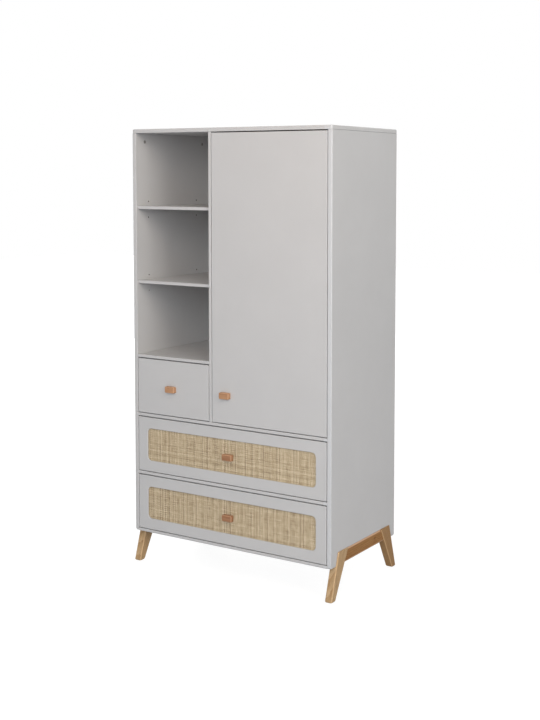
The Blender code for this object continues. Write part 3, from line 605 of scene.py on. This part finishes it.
# Leg frames: their measures also shape the notch of the side panels
legFrame = {
    "topInset": 0.051,       # leg's top from the case's front edge
    "topDepth": 0.070,
    "footDepth": 0.029,
    "edge": 0.004,           # rounding of the legs' long edges
    "footEdge": 0.005,
    "railEdge": 0.009,
    "firstLevel": 0.02,      # lowest section above the foot's rounding
    "levels": 8,
    "legShift": (0.37, 0.21, 0.5),      # where in its wood each leg is cut, times its side and end
    "railShift": (0.1, 0.3, 0.2),
    # the rear legs' darker tones, the right rear one's most of all, are painted shade under the case
    "tones": {"left_front_leg": 0.0, "left_rear_leg": 0.06, "right_front_leg": 0.0, "right_rear_leg": 0.46},
}
sideLow, sideHigh = span("side_panel_right")
topLow = span("top_panel")[0]
bottomLow, bottomHigh = span("bottom_panel")
backLow, backHigh = span("back_panel")
dividerLow, dividerHigh = span("divider_panel")
legLow, legHigh = span("right_front_leg")
caseFront, caseRear, caseLow = sideLow[1], sideHigh[1], sideLow[2]
caseMiddle = (caseFront + caseRear) / 2
innerX, outerX = sideLow[0], sideHigh[0]
grooveFront, grooveRear = backLow[1] - seat, backHigh[1] + seat
ease, crisp, grooveDepth = caseBoards["ease"], caseBoards["crisp"], caseBoards["grooveDepth"]
pinLevels = [span(f"adjustable_shelf_{which}")[0][2] - seat - caseBoards["pinRadius"]
             for which in ("lower", "upper")]
pinRows = (caseFront + caseBoards["pinInset"], caseRear - caseBoards["pinRearInset"])


def pinHoles(face):
    # the free holes above and below each shelf pin
    holes = []
    for level in pinLevels:
        for row in pinRows:
            for step in (-1, 1):
                centre = (row, level + step * caseBoards["holePitch"])
                ring = circle(centre, caseBoards["holeRadius"], caseBoards["holeSides"])
                holes.append(blindHole(ring, face, caseBoards["holeDepth"], "near"))
    return holes


def sidePanel(side):
    # an upright board whose lower edge has the notch of the leg frame; w runs outwards from its inner
    # face, and the left panel is the right one's shape turned over, with the pin holes added
    top, corner = sideHigh[2], caseBoards["sideCorner"]
    slope = (caseFront + legFrame["topInset"] - legLow[1]) / legHigh[2]
    notchHigh = legHigh[2] + seat
    notchTop = caseMiddle - caseFront - legFrame["topInset"] + seat
    notchLow = notchTop + slope * (notchHigh - caseLow)
    outline = roundedOutline([
        (caseFront, top, 0), (caseFront, caseLow, corner), (caseMiddle - notchLow, caseLow, 0),
        (caseMiddle - notchTop, notchHigh, 0), (caseMiddle + notchTop, notchHigh, 0),
        (caseMiddle + notchLow, caseLow, 0), (caseRear, caseLow, corner), (caseRear, top, 0)])
    y, z = middles(outline).T
    plain = (abs(y - caseMiddle) < notchLow - hair) | (z > top - hair)
    atFront = y < caseFront + hair
    outer = np.where(plain, crisp, np.where(atFront, caseBoards["sideFront"], caseBoards["sideEdge"]))
    inner = np.where(atFront & ~plain, ease, crisp)
    groove = rectangle((grooveFront, bottomHigh[2] - grooveDepth), (grooveRear, top - crisp - 2 * lead))
    holes = [blindHole(groove, innerX, grooveDepth, "near")]
    if side < 0:
        holes += pinHoles(innerX)
    shape = Shape().board(outline, (innerX, outerX), (inner, outer), holes)
    shape.points = [points * (1, 1, side) for points in shape.points]
    name = "side_panel_left" if side < 0 else "side_panel_right"
    addPiece(pieceName(name), shape, casePaint, "carcass", [name], 0)


def boardAlong(name, axis, radii, corner=0.0, holes=(), look=casePaint, body="carcass"):
    # a box-shaped board on its node's own box; radii are numbers or functions of the outline's middles
    low, high = span(name)
    u, v = {0: (1, 2), 1: (0, 2), 2: (0, 1)}[axis]
    outline = rectangle((low[u], low[v]), (high[u], high[v]), corner)
    both = [r(*middles(outline).T) if callable(r) else r for r in radii]
    shape = Shape().board(outline, (low[axis], high[axis]), both, holes)
    addPiece(pieceName(name), shape, look, body, [name], axis)


def frontOnly(radius):
    # a rounding for the front edge alone
    return lambda u, v: np.where(v < caseFront + caseBoards["easeReach"], radius, crisp)


sidePanel(-1)
sidePanel(1)
reach = innerX + grooveDepth
topGroove = blindHole(rectangle((-reach, grooveFront), (reach, grooveRear)), topLow[2], grooveDepth, "near")
topEdges = (caseBoards["topLowerEdge"], caseBoards["topEdge"])
boardAlong("top_panel", 2, topEdges, caseBoards["topCorner"], [topGroove])
inset = caseBoards["grooveInset"]
groove = rectangle((bottomLow[0] + inset, grooveFront), (bottomHigh[0] - inset, grooveRear))
bottomGroove = blindHole(groove, bottomHigh[2], -grooveDepth, "far")
boardAlong("bottom_panel", 2, (frontOnly(caseBoards["bottomEdge"]), frontOnly(ease)), 0, [bottomGroove])
for name in ("mid_panel", "drawer_rail", "fixed_shelf", "adjustable_shelf_lower", "adjustable_shelf_upper"):
    boardAlong(name, 2, (frontOnly(ease), frontOnly(ease)))

# the divider's box begins at its pins' ends, so its own thickness is taken from the bottom panel
outline = rectangle((dividerLow[1], dividerLow[2]), (dividerHigh[1], dividerHigh[2]))
dividerX = dividerHigh[0] - (bottomHigh[2] - bottomLow[2])
eased = np.where(middles(outline)[:, 0] < caseFront + hair, ease, crisp)
shape = Shape().board(outline, (dividerX, dividerHigh[0]), (eased, eased), pinHoles(dividerX))
addPiece("dividerPanel", shape, casePaint, "carcass", ["divider_panel"], 0)
nodes["back_panel"].data.materials[0] = backBoardLook
print("case boards made")


# Legs and the rails between them
def cornerRings(r):
    # a rounded rectangle: for each point the corner that it belongs to, in shares of the two sides,
    # its place from that corner, r (cos t - 1, sin t - 1) turned by quarters, and its edge mark
    t = quarterTurn()
    offsets = np.r_[[(0, -r - lead)], np.c_[r * np.cos(t) - r, r * np.sin(t) - r], [(-r - lead, 0)]]
    quarter = np.array([[0, 1], [-1, 0]])
    corner, place = [], []
    for turns, share in enumerate(((1, 1), (0, 1), (0, 0), (1, 0))):
        corner.append(np.tile(share, (len(offsets), 1)))
        place.append(offsets @ np.linalg.matrix_power(quarter, turns))
    return np.concatenate(corner), np.concatenate(place), np.tile(roundingMarks(), len(corner))


def legShape(name, side, end):
    # level sections, each a rounded rectangle whose ends follow the leg's two slanted edges: at the
    # height z both stand (h - z) / h of the way from their places at the top to those at the foot
    height, shoulder = legHigh[2], caseLow - seat
    low, high = span(name)
    near, far = sorted((abs(low[0]), abs(high[0])))
    foot, topDepth, footDepth = legFrame["footEdge"], legFrame["topDepth"], legFrame["footDepth"]
    topOuter = caseMiddle - caseFront - legFrame["topInset"]
    footOuter = caseMiddle - legLow[1]
    corner, place, mark = cornerRings(legFrame["edge"])
    t = quarterTurn()
    rise, shrink = foot * (1 - np.cos(t)), foot * (1 - np.sin(t))
    between = np.linspace(legFrame["firstLevel"], shoulder - lead, legFrame["levels"])
    levels = np.r_[rise, foot + lead, between, shoulder, shoulder + seat, shoulder + seat + lead,
                   height - lead, height]
    tight = np.r_[shrink, np.zeros(len(levels) - len(shrink) - 1), 2 * seat]
    inner = np.where(levels > shoulder + seat / 2, innerX, near)
    outerEdge = topOuter + (footOuter - topOuter) * (height - levels) / height
    innerEdge = outerEdge - topDepth + (topDepth - footDepth) * (height - levels) / height
    lowU, highU = inner + tight, far - tight
    lowV, highV = innerEdge + tight, outerEdge - tight
    u = lowU[:, None] + (highU - lowU)[:, None] * corner[:, 0] + place[:, 0]
    v = lowV[:, None] + (highV - lowV)[:, None] * corner[:, 1] + place[:, 1]
    w = np.broadcast_to(levels[:, None], u.shape)
    shape = Shape()
    index = shape.grid(np.stack((side * u, caseMiddle + end * v, w), -1))
    shape.marks[-1] = np.tile(mark, len(levels))     # the long edges turn paler, as wear and a painted highlight, not the level sections
    shape.cap(index[0])
    shape.cap(index[-1])
    axis = np.array((0.0, end * (footOuter - topOuter + topDepth / 2 - footDepth / 2), -height))
    return shape, axis / np.linalg.norm(axis)


def alongWood(axis, shift):
    # places in the wood's own directions: across, through, and along the axis, which are worked out
    # from the axis and any other direction well away from it
    other = (1.0, 0.0, 0.0) if abs(axis[0]) < 0.5 else (0.0, 0.0, 1.0)
    side = np.cross(axis, other)
    side /= np.linalg.norm(side)
    through = np.cross(axis, side)
    return lambda points: np.c_[points @ side, points @ through, points @ axis] + shift


def legRail(name, side):
    # a board whose slanted ends follow the legs, and whose outer face is worn round above and below
    low, high = span(name)
    half = caseMiddle - caseFront - legFrame["topInset"] - legFrame["topDepth"] - seat
    outline = roundedOutline([(low[1], low[2], 0), (high[1], low[2], 0), (caseMiddle + half, high[2], 0),
                              (caseMiddle - half, high[2], 0)])
    z = middles(outline)[:, 1]
    worn = np.where((z < low[2] + hair) | (z > high[2] - hair), legFrame["railEdge"], crisp)
    shape = Shape().board(outline, (low[0], high[0]), (crisp, worn) if side > 0 else (worn, crisp))
    grain = alongWood(np.array((0.0, 1.0, 0.0)), np.array(legFrame["railShift"]) * (1, side, 1))
    addPiece(pieceName(name), shape, railWood, "carcass", [name], 0, grain)


for side, hand in ((-1, "left"), (1, "right")):
    for end, where in ((-1, "front"), (1, "rear")):
        name = f"{hand}_{where}_leg"
        shape, axis = legShape(name, side, end)
        grain = alongWood(axis, np.array(legFrame["legShift"]) * (side, end, side * end))
        tone = legFrame["tones"][name]
        addPiece(pieceName(name), shape, legWood, "carcass", [name], 2, grain, tone)
    legRail(f"{hand}_leg_rail", side)
print("leg frames made")


# Door and drawer fronts
fronts = {"ease": 0.0015, "corner": 0.0022, "rear": 0.0004, "cupRadius": 0.0178, "cupDepth": 0.0118,
          "cupSides": 40, "hinges": (1, 2, 3)}
doorHigh = span("door_panel")[1]


def frontBoard(name, body, holes=()):
    edges = (fronts["ease"], fronts["rear"])
    boardAlong(name, 1, edges, fronts["corner"], holes, frontPaint, body)


bores = []
for number in fronts["hinges"]:
    low, high = span(f"hinge_cup_{number}")
    ring = circle((low + high)[[0, 2]] / 2, fronts["cupRadius"], fronts["cupSides"])
    bores.append(blindHole(ring, doorHigh[1], -fronts["cupDepth"], "far"))
frontBoard("door_panel", "door", bores)
frontBoard("small_drawer_front", "small_drawer")

# the cane windows, from the edges of their fronts, and the rebate behind them
window = {"side": 0.0468, "top": 0.0448, "radius": 0.019, "steps": 10, "ease": 0.0015, "recess": 0.004,
          "lap": 0.010}


def windowOutline(low, high, wider=0.0):
    # the window between a front's lowest and highest corner, or one that is wider on every side
    side, top = window["side"] - wider, window["top"] - wider
    return rectangle((low[0] + side, low[2] + top), (high[0] - side, high[2] - top),
                     window["radius"] + wider, window["steps"])


def canedFront(drawer):
    # the frame: its window is eased in front, e (1 - sin t) wider at the depth e (1 - cos t), and
    # steps out to the rebate
    name = f"{drawer}_front_frame"
    low, high = span(name)
    eased, recess, lap = window["ease"], low[1] + window["recess"], window["lap"]
    profile = [(eased + lead, low[1])]
    for t in quarterTurn():
        profile.append((eased * (1 - math.sin(t)), low[1] + eased * (1 - math.cos(t))))
    profile += [(0, low[1] + eased + lead), (0, recess), (lap, recess), (lap, high[1])]
    marks = roundingMarks() + [0, 0, 0]
    hole = {"outline": windowOutline(low, high), "profile": profile, "marks": marks, "opens": "both"}
    frontBoard(name, drawer, [hole])
    return low, high


# Woven cane: upright and level strands that pass over and under each other
weave = {
    "pitch": 0.0041, "width": 0.0036,              # of the upright strands
    "levelPitch": 0.0039, "levelWidth": 0.0034,
    "thickness": 0.0007,
    "lift": 0.0006,                                # how far a strand swings to the front and back
    "lap": 0.0014,                                 # how far the strands run on behind the frame
    "jitter": 0.12,                                # disorder of the spacing, in shares of it
    "board": 0.0018,                               # thickness of the board behind the weave
    "deeper": 0.001,                               # weave's depth behind the CAD panel's face
    "numberShift": 500.0,                          # keeps the level strands' streaks their own
    "sharp": 70,
    "seed": 11,
}
# the strands' tones, of which a small one is pale and a large one dark
strandTone = {
    "middle": 0.46, "disorder": 0.16,
    "apart": (3, 11),                              # strands from one pale one to the next
    "clearEnd": 3,                                 # the last strands, none of which is marked
    "pale": (-0.15, 0.12),
    "paired": 0.4, "second": (-0.1, 0.15),         # share of pale strands with a second one beside
    "shaded": 0.6, "dark": (0.8, 1.15),            # share with a dark one on the other side
    "levelDisorder": 0.17, "levelLimits": (-0.1, 1.1),
}


def strandPlaces(low, high, pitch, random):
    # evenly spaced places with a little disorder
    count = int(round((high - low) / pitch))
    steps = 1 + random.uniform(-weave["jitter"], weave["jitter"], count)
    edges = np.r_[0, np.cumsum(steps)]
    edges = low + (high - low) * edges / edges[-1]
    return (edges[1:] + edges[:-1]) / 2, np.diff(edges)


def strands(centres, widths, crossings, ends, first, tones):
    # each strand is a three-sided ribbon: at crossing j of strand i it stands
    # lift * (-1)^(i + j + first) towards the front, and lies in the middle between crossings
    stations = np.empty(2 * len(crossings) + 1)
    stations[1::2] = crossings
    stations[2:-1:2] = (crossings[1:] + crossings[:-1]) / 2
    stations[0], stations[-1] = ends
    shape = (len(centres), len(stations), 3)
    i, j = np.ogrid[:len(centres), :len(crossings)]
    wave = np.zeros(shape[:2])
    wave[:, 1::2] = weave["lift"] * (-1.0) ** (i + j + first)
    half, thick = widths / 2, weave["thickness"]
    across = np.stack((-half, np.zeros_like(half), half), -1)[:, None, :]
    out = np.array((0.0, thick, 0.0)) - thick / 2
    u = np.broadcast_to(centres[:, None, None] + across, shape)
    v = np.broadcast_to(stations[:, None], shape)
    w = wave[:, :, None] + out
    index = np.arange(np.prod(shape)).reshape(shape)
    ahead = np.roll(index, -1, 2)
    quads = np.stack((index[:, :-1], ahead[:, :-1], ahead[:, 1:], index[:, 1:]), -1).reshape(-1, 4)
    closing = np.concatenate((index[:, 0, ::-1], index[:, -1]))
    number = np.arange(len(centres))[:, None, None] + first * weave["numberShift"]
    grain = np.stack(np.broadcast_arrays(across, number, v), -1).reshape(-1, 3)
    tone = np.broadcast_to(tones[:, None, None], shape).ravel()
    return (u, v, w), quads.tolist() + closing.tolist(), {"grain": grain, "tone": tone}


def uprightTones(count, random):
    # near the middle tone, with pale strands alone or in pairs and dark ones beside some of them
    tones = random.normal(strandTone["middle"], strandTone["disorder"], count)
    marked = np.cumsum(random.integers(*strandTone["apart"], count))
    marked = marked[marked < count - strandTone["clearEnd"]]
    tones[marked] = random.uniform(*strandTone["pale"], len(marked))
    doubled = marked[random.random(len(marked)) < strandTone["paired"]]
    tones[doubled + 1] = random.uniform(*strandTone["second"], len(doubled))
    shaded = marked[random.random(len(marked)) < strandTone["shaded"]]
    tones[shaded - 1] = random.uniform(*strandTone["dark"], len(shaded))
    return np.clip(tones, *cane["toneReach"])


def wovenCane(drawer, low, high, seed):
    # a board and before it two layers of strands, which swing about one depth behind the CAD
    # panel's face
    lap = weave["lap"]
    random = np.random.default_rng(weave["seed"] + seed)
    node = f"{drawer}_cane_panel"
    caneLow, caneHigh = span(node)
    left, right = low[0] + window["side"] - lap, high[0] - window["side"] + lap
    under, over = low[2] + window["top"] - lap, high[2] - window["top"] + lap
    xs, xSteps = strandPlaces(left, right, weave["pitch"], random)
    zs, zSteps = strandPlaces(under, over, weave["levelPitch"], random)
    depth = caneLow[1] + weave["lift"] + weave["thickness"] / 2 + weave["deeper"]
    tones = uprightTones(len(xs), random)
    upright = strands(xs, xSteps * weave["width"] / weave["pitch"], zs, (under, over), 0, tones)
    tones = random.normal(strandTone["middle"], strandTone["levelDisorder"], len(zs))
    tones = np.clip(tones, *strandTone["levelLimits"])
    level = strands(zs, zSteps * weave["levelWidth"] / weave["levelPitch"], xs, (left, right), 1, tones)
    outline = windowOutline(low, high, window["lap"] - seat)
    board = Shape().board(outline, (caneHigh[1] - weave["board"], caneHigh[1]), (seat, seat), steps=2)
    addPiece(pieceName(drawer) + "CaneBoard", board, caneBoardLook, drawer, [node], 1)
    for kind, (places, faces, values) in (("Upright", upright), ("Level", level)):
        u, v, lift = places
        world = (u, depth - lift, v) if kind == "Upright" else (v, depth - lift, u)
        points = np.stack([axis.ravel() for axis in world], -1)
        name = pieceName(drawer) + "Cane" + kind
        piece = smoothObject(name, points, faces, caneLook, values, weave["sharp"])
        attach(piece, drawer)


for seed, drawer in enumerate(("upper_drawer", "lower_drawer")):
    low, high = canedFront(drawer)
    wovenCane(drawer, low, high, seed)
print("fronts and cane made")


# Knobs: a block of wood with well rounded front edges and corners
# the knobs further down get darker tones, as painted shade
knob = {"corner": 0.0045, "edge": 0.0035, "base": 0.0006, "steps": 8, "shift": 0.4, "spread": 3,
        "tones": {"door": -0.02, "small_drawer": 0.0, "upper_drawer": 0.12, "lower_drawer": 0.42}}
for body, tone in knob["tones"].items():
    name = f"{body}_knob"
    low, high = span(name)
    outline = rectangle((low[0], low[2]), (high[0], high[2]), knob["corner"], knob["steps"])
    shape = Shape().board(outline, (low[1], high[1]), (knob["edge"], knob["base"]), steps=knob["steps"])
    # each knob is cut from another place in the wood, by where it sits
    grain = alongWood(np.array((1.0, 0.0, 0.0)), (low[2] * knob["spread"], knob["shift"], low[0]))
    addPiece(pieceName(name), shape, knobWood, body, [name], 1, grain, tone)
print("knobs made")


# Drawer boxes, runner channels, hinges and the hanging rail keep their own solids
for name, node in nodes.items():
    if name.endswith(("side_left", "side_right", "_back", "_bottom")) and "drawer" in name:
        node.data.materials[0] = foilLook
    elif "runner" in name:
        node.data.materials[0] = zincLook
    elif name.startswith("hinge"):
        node.data.materials[0] = nickelLook
    elif name.startswith("hanging_rail"):
        node.data.materials[0] = chromeLook


# Drawer slides: a rolled strip with a raised race along each edge and a stem to the drawer box
slide = {"race": 0.0055, "web": 0.0022, "round": 0.001, "steps": 4, "head": 0.005, "stem": 0.009,
         "end": 0.0002}


def drawerSlide(drawer, hand):
    # its outline's corners are (u, v, r), with u from the channel towards the drawer and v from the
    # middle; it gives back the face, direction and height of the web for the screws
    name = f"{drawer}_runner_{hand}_slide"
    low, high = span(name)
    middle, half, width = (low[2] + high[2]) / 2, (high[2] - low[2]) / 2, high[0] - low[0]
    outer, way = (low[0], 1) if hand == "left" else (high[0], -1)
    r, web, head, stem = slide["round"], slide["web"], slide["head"], slide["stem"]
    inner = half - slide["race"]
    corners = [(0, -half, r), (0, -inner, r), (web, r - inner, 0), (web, inner - r, 0), (0, inner, r),
               (0, half, r), (head, half, r), (head, stem, 0), (width, stem, 0), (width, -stem, 0),
               (head, -stem, 0), (head, -half, r)]
    corners = [(outer + way * u, middle + v, corner) for u, v, corner in corners]
    outline = roundedOutline(corners, slide["steps"])
    shape = Shape().board(outline, (low[1], high[1]), (slide["end"], slide["end"]))
    addPiece(pieceName(name), shape, zincLook, drawer, [name], 1)
    return outer + way * web, -way, middle


# Shelf pins and cam locks: (radius, height) pairs from below the face that they stand in
pin = {"profile": [(0.00245, -0.004), (0.00245, 0.0072), (0.002, 0.0078), (0.00125, 0.008)], "sides": 14}
cam = {
    "profile": [(0.0068, -0.002), (0.0068, 0.00024), (0.006324, 0.0008), (0.00306, 0.0008),
                (0.00272, 0.00008), (0.0006, 0.00008)],
    "sides": 24,
    "frontInset": 0.056, "rearInset": 0.064, "drop": 0.034,      # from the case's edges and the top panel
}


def shelfPins():
    shape = Shape()
    for face, way in ((-innerX, 1), (dividerX, -1)):
        for level in pinLevels:
            for row in pinRows:
                turned(shape, pin["profile"], (row, level), face, way, pin["sides"])
    addPiece("shelfPins", shape, zincLook, "carcass", (), 0)


def camLocks():
    shape = Shape()
    for face, way in ((-innerX, 1), (innerX, -1)):
        for row in (caseFront + cam["frontInset"], caseRear - cam["rearInset"]):
            turned(shape, cam["profile"], (row, topLow[2] - cam["drop"]), face, way, cam["sides"])
    addPiece("camLocks", shape, camLook, "carcass", (), 0)


# Screws: each kind has its head's radius, how proud it stands, and what sets its places
screws = {
    "cup": {"radius": 0.0036, "proud": 0.0003, "rise": 0.024},
    "plate": {"radius": 0.0042, "proud": 0.0003, "rise": 0.0165, "back": 0.039, "depth": 0.008},
    "arm": {"radius": 0.0034, "proud": 0.0003, "places": (-0.018, 0.008), "depth": 0.017},
    "knob": {"radius": 0.0052, "proud": 0.0016},
    "slide": {"radius": 0.0034, "proud": 0.0002, "shares": (0.08, 0.42, 0.86)},
    "channel": {"radius": 0.0032, "proud": 0.0002, "shift": 0.012, "sheet": 0.0012},
}
screwHead = {
    "sunk": 0.0004, "rimRise": 0.4, "rim": 0.93, "sides": 24,
    "crossMean": 0.62, "crossSwing": 0.38, "crossTop": 0.56, "crossLow": 0.5, "crossDepth": 0.0005,
    "pit": 0.16, "pitDepth": 0.0011,
}


def screw(shape, kind, centre, face, way):
    # rings about the centre, in shares of the head's radius r; the two of the cross recess have
    # a share of r (0.62 + 0.38 cos 4a) at the angle a
    radius, proud = screws[kind]["radius"], screws[kind]["proud"]
    turn = np.linspace(0, math.tau, screwHead["sides"], endpoint=False)
    cross = screwHead["crossMean"] + screwHead["crossSwing"] * np.cos(4 * turn)
    rings = [(1, -screwHead["sunk"]), (1, proud * screwHead["rimRise"]), (screwHead["rim"], proud),
             (screwHead["crossTop"] * cross, proud),
             (screwHead["crossLow"] * cross, proud - screwHead["crossDepth"]),
             (screwHead["pit"], proud - screwHead["pitDepth"])]
    rows = []
    for wide, height in rings:
        r = np.broadcast_to(radius * wide, len(turn))
        ring = np.array(centre) + np.c_[r * np.cos(turn), r * np.sin(turn)]
        rows.append(atLevel(ring, face + way * height))
    index = shape.grid(rows)
    shape.cap(index[0])
    shape.cap(index[-1])


def hingeScrews():
    # two in each cup's flange; two in each mounting plate and two on its arm
    onCups, onArms = Shape(), Shape()
    plate, arm = screws["plate"], screws["arm"]
    for number in fronts["hinges"]:
        low, high = span(f"hinge_cup_{number}")
        x, level = (low + high)[[0, 2]] / 2
        for way in (-1, 1):
            screw(onCups, "cup", (x, level + way * screws["cup"]["rise"]), high[1], 1)
        case = span(f"hinge_arm_{number}")[1][0]
        row = doorHigh[1] + plate["back"]
        for way in (-1, 1):
            screw(onArms, "plate", (row, level + way * plate["rise"]), case - plate["depth"], -1)
        for along in arm["places"]:
            screw(onArms, "arm", (row + along, level), case - arm["depth"], -1)
    addPiece("hingeCupScrews", onCups, zincLook, "door", (), 1)
    addPiece("hingeArmScrews", onArms, zincLook, "carcass", (), 0)


def knobScrews():
    # a pan head behind each knob, on the inside of its front
    for body, front in (("door", "door_panel"), ("small_drawer", "small_drawer_front"),
                        ("upper_drawer", "upper_drawer_cane_panel"),
                        ("lower_drawer", "lower_drawer_cane_panel")):
        low, high = span(f"{body}_knob")
        shape = Shape()
        screw(shape, "knob", (low + high)[[0, 2]] / 2, span(front)[1][1], 1)
        addPiece(pieceName(f"{body}_knob") + "Screw", shape, zincLook, body, (), 1)


def runnerScrews():
    # countersunk, along the web of each slide and of each channel
    channel, onCase = screws["channel"], Shape()
    for drawer in ("small_drawer", "upper_drawer", "lower_drawer"):
        onDrawer = Shape()
        for hand, way in (("left", 1), ("right", -1)):
            face, out, middle = drawerSlide(drawer, hand)
            low, high = span(f"{drawer}_runner_{hand}_channel")
            wall = (low[0] if way > 0 else high[0]) + way * channel["sheet"]
            for share in screws["slide"]["shares"]:
                row = low[1] + share * (high[1] - low[1])
                screw(onDrawer, "slide", (row, middle), face, out)
                screw(onCase, "channel", (row + channel["shift"], middle), wall, way)
        addPiece(pieceName(drawer) + "RunnerScrews", onDrawer, nickelLook, drawer, (), 0)
    addPiece("runnerScrews", onCase, nickelLook, "carcass", (), 0)


shelfPins()
camLocks()
hingeScrews()
knobScrews()
runnerScrews()
print("fasteners made")


# Floor, light and camera
studio = {
    "floor": (0.59, 0.61, 0.66), "floorTint": 0.99, "floorRough": 0.8,
    "floorHalf": 14, "floorLines": 15,
    "floorSeen": (0.17, 0.17, 0.17),       # the camera sees the floor in this colour, and glowing,
    "floorWhite": 0.87,                    # by this much near the object, where its shadow shows,
    "glowReach": (1.0, 3.0),               # and rising to 1, white, between these distances
    "sky": (0.95, 0.98, 1.0), "skyStrength": 0.284,
    "aim": (0, 0, 0.9),
}
lamps = {
    "keyLamp": {"place": (2.8, -6.2, 3.4), "size": 3.0, "power": 178.0, "color": (0.865, 0.925, 0.97)},
    "frontLamp": {"place": (3.0, -5.5, 1.0), "size": 3.0, "power": 63.0, "color": (0.95, 0.97, 1.0)},
    "highLamp": {"place": (3.2, -3.0, 4.5), "size": 2.5, "power": 58.0, "color": (0.92, 0.93, 0.92)},
    "sideLamp": {"place": (6.5, -2.5, 3.0), "size": 3.0, "power": 128.0, "color": (1.0, 0.965, 0.9)},
    "topLamp": {"place": (0.7, -1.9, 2.5), "size": 1.2, "power": 5.6, "color": (1.0, 0.56, 0.22)},
    "rearLamp": {"place": (-4.5, 5.0, 1.3), "size": 3.0, "power": 230.0, "color": (1.0, 0.97, 0.94)},
}
cameraView = {"place": (2.6732, -3.8767, 1.6012), "azimuth": 31.09589, "down": 4.12055, "roll": 0.18442,
              "lens": 57.868, "shift": (-0.0883, -0.1394)}


def addFloor():
    rows = np.linspace(-studio["floorHalf"], studio["floorHalf"], studio["floorLines"])
    x, y = np.meshgrid(rows, rows)
    shape = Shape()
    shape.grid(np.stack((x, y, np.zeros_like(x)), -1), closed=False)
    mesh = bpy.data.meshes.new("floor")
    mesh.from_pydata(np.concatenate(shape.points).tolist(), [], shape.faces)
    floor = bpy.data.objects.new("floor", mesh)
    bpy.context.scene.collection.objects.link(floor)
    look = Look("floorPaint")
    cloudy = tint(studio["floor"], studio["floorTint"])
    color = look.mix(look.spread(look.noise(3.0, 4)), cloudy, studio["floor"])
    seen = look.add("LightPath").outputs["Is Camera Ray"]
    look.finish(look.mix(seen, color, studio["floorSeen"]), studio["floorRough"])
    far = look.add("VectorMath", {0: look.place}, operation="LENGTH").outputs["Value"]
    glow = look.maths("MULTIPLY", look.fit(far, *studio["glowReach"], studio["floorWhite"], 1), seen)
    white = look.add("Emission", {"Color": (1, 1, 1, 1), "Strength": glow})
    both = look.add("AddShader", {0: look.shader.outputs[0], 1: white.outputs[0]})
    look.tree.links.new(both.outputs[0], look.tree.nodes["Material Output"].inputs["Surface"])
    mesh.materials.append(look.material)


def addSky():
    # the camera, and metal by its reflections, see white; all else is lit by the soft sky
    world = bpy.data.worlds.new("studio")
    bpy.context.scene.world = world
    world.use_nodes = True
    tree = world.node_tree
    soft = tree.nodes["Background"]
    soft.inputs["Color"].default_value = (*studio["sky"], 1)
    soft.inputs["Strength"].default_value = studio["skyStrength"]
    white = tree.nodes.new("ShaderNodeBackground")
    white.inputs["Color"].default_value = (1, 1, 1, 1)
    path = tree.nodes.new("ShaderNodeLightPath")
    seen = path.outputs["Is Camera Ray"]
    for ray in ("Is Glossy Ray", "Is Transmission Ray"):
        either = tree.nodes.new("ShaderNodeMath")
        either.operation = "MAXIMUM"
        tree.links.new(seen, either.inputs[0])
        tree.links.new(path.outputs[ray], either.inputs[1])
        seen = either.outputs[0]
    blend = tree.nodes.new("ShaderNodeMixShader")
    for source, socket in ((seen, 0), (soft.outputs[0], 1), (white.outputs[0], 2)):
        tree.links.new(source, blend.inputs[socket])
    tree.links.new(blend.outputs[0], tree.nodes["World Output"].inputs["Surface"])


def addLamp(name, place, size, power, color):
    light = bpy.data.lights.new(name, "AREA")
    light.shape = "SQUARE"
    light.size = size
    light.energy = power
    light.color = color
    lamp = bpy.data.objects.new(name, light)
    bpy.context.scene.collection.objects.link(lamp)
    lamp.location = place
    lamp.rotation_euler = (Vector(studio["aim"]) - Vector(place)).to_track_quat("-Z", "Y").to_euler()


def addCamera():
    azimuth, down, roll = (math.radians(cameraView[key]) for key in ("azimuth", "down", "roll"))
    level = math.cos(down)
    ahead = Vector((-math.sin(azimuth) * level, math.cos(azimuth) * level, -math.sin(down)))
    right = ahead.cross(Vector((0, 0, 1))).normalized()
    up = right.cross(ahead)
    rolledRight = right * math.cos(roll) + up * math.sin(roll)
    rolledUp = up * math.cos(roll) - right * math.sin(roll)
    camera = bpy.data.objects.new("camera", bpy.data.cameras.new("camera"))
    bpy.context.scene.collection.objects.link(camera)
    turn = Matrix((rolledRight, rolledUp, -ahead)).transposed().to_4x4()
    camera.matrix_world = Matrix.Translation(cameraView["place"]) @ turn
    camera.data.lens = cameraView["lens"]
    camera.data.shift_x, camera.data.shift_y = cameraView["shift"]
    bpy.context.scene.camera = camera


addFloor()
addSky()
for name, lamp in lamps.items():
    addLamp(name, **lamp)
addCamera()
bpy.context.scene.view_settings.view_transform = "Standard"
print("floor, light and camera made")
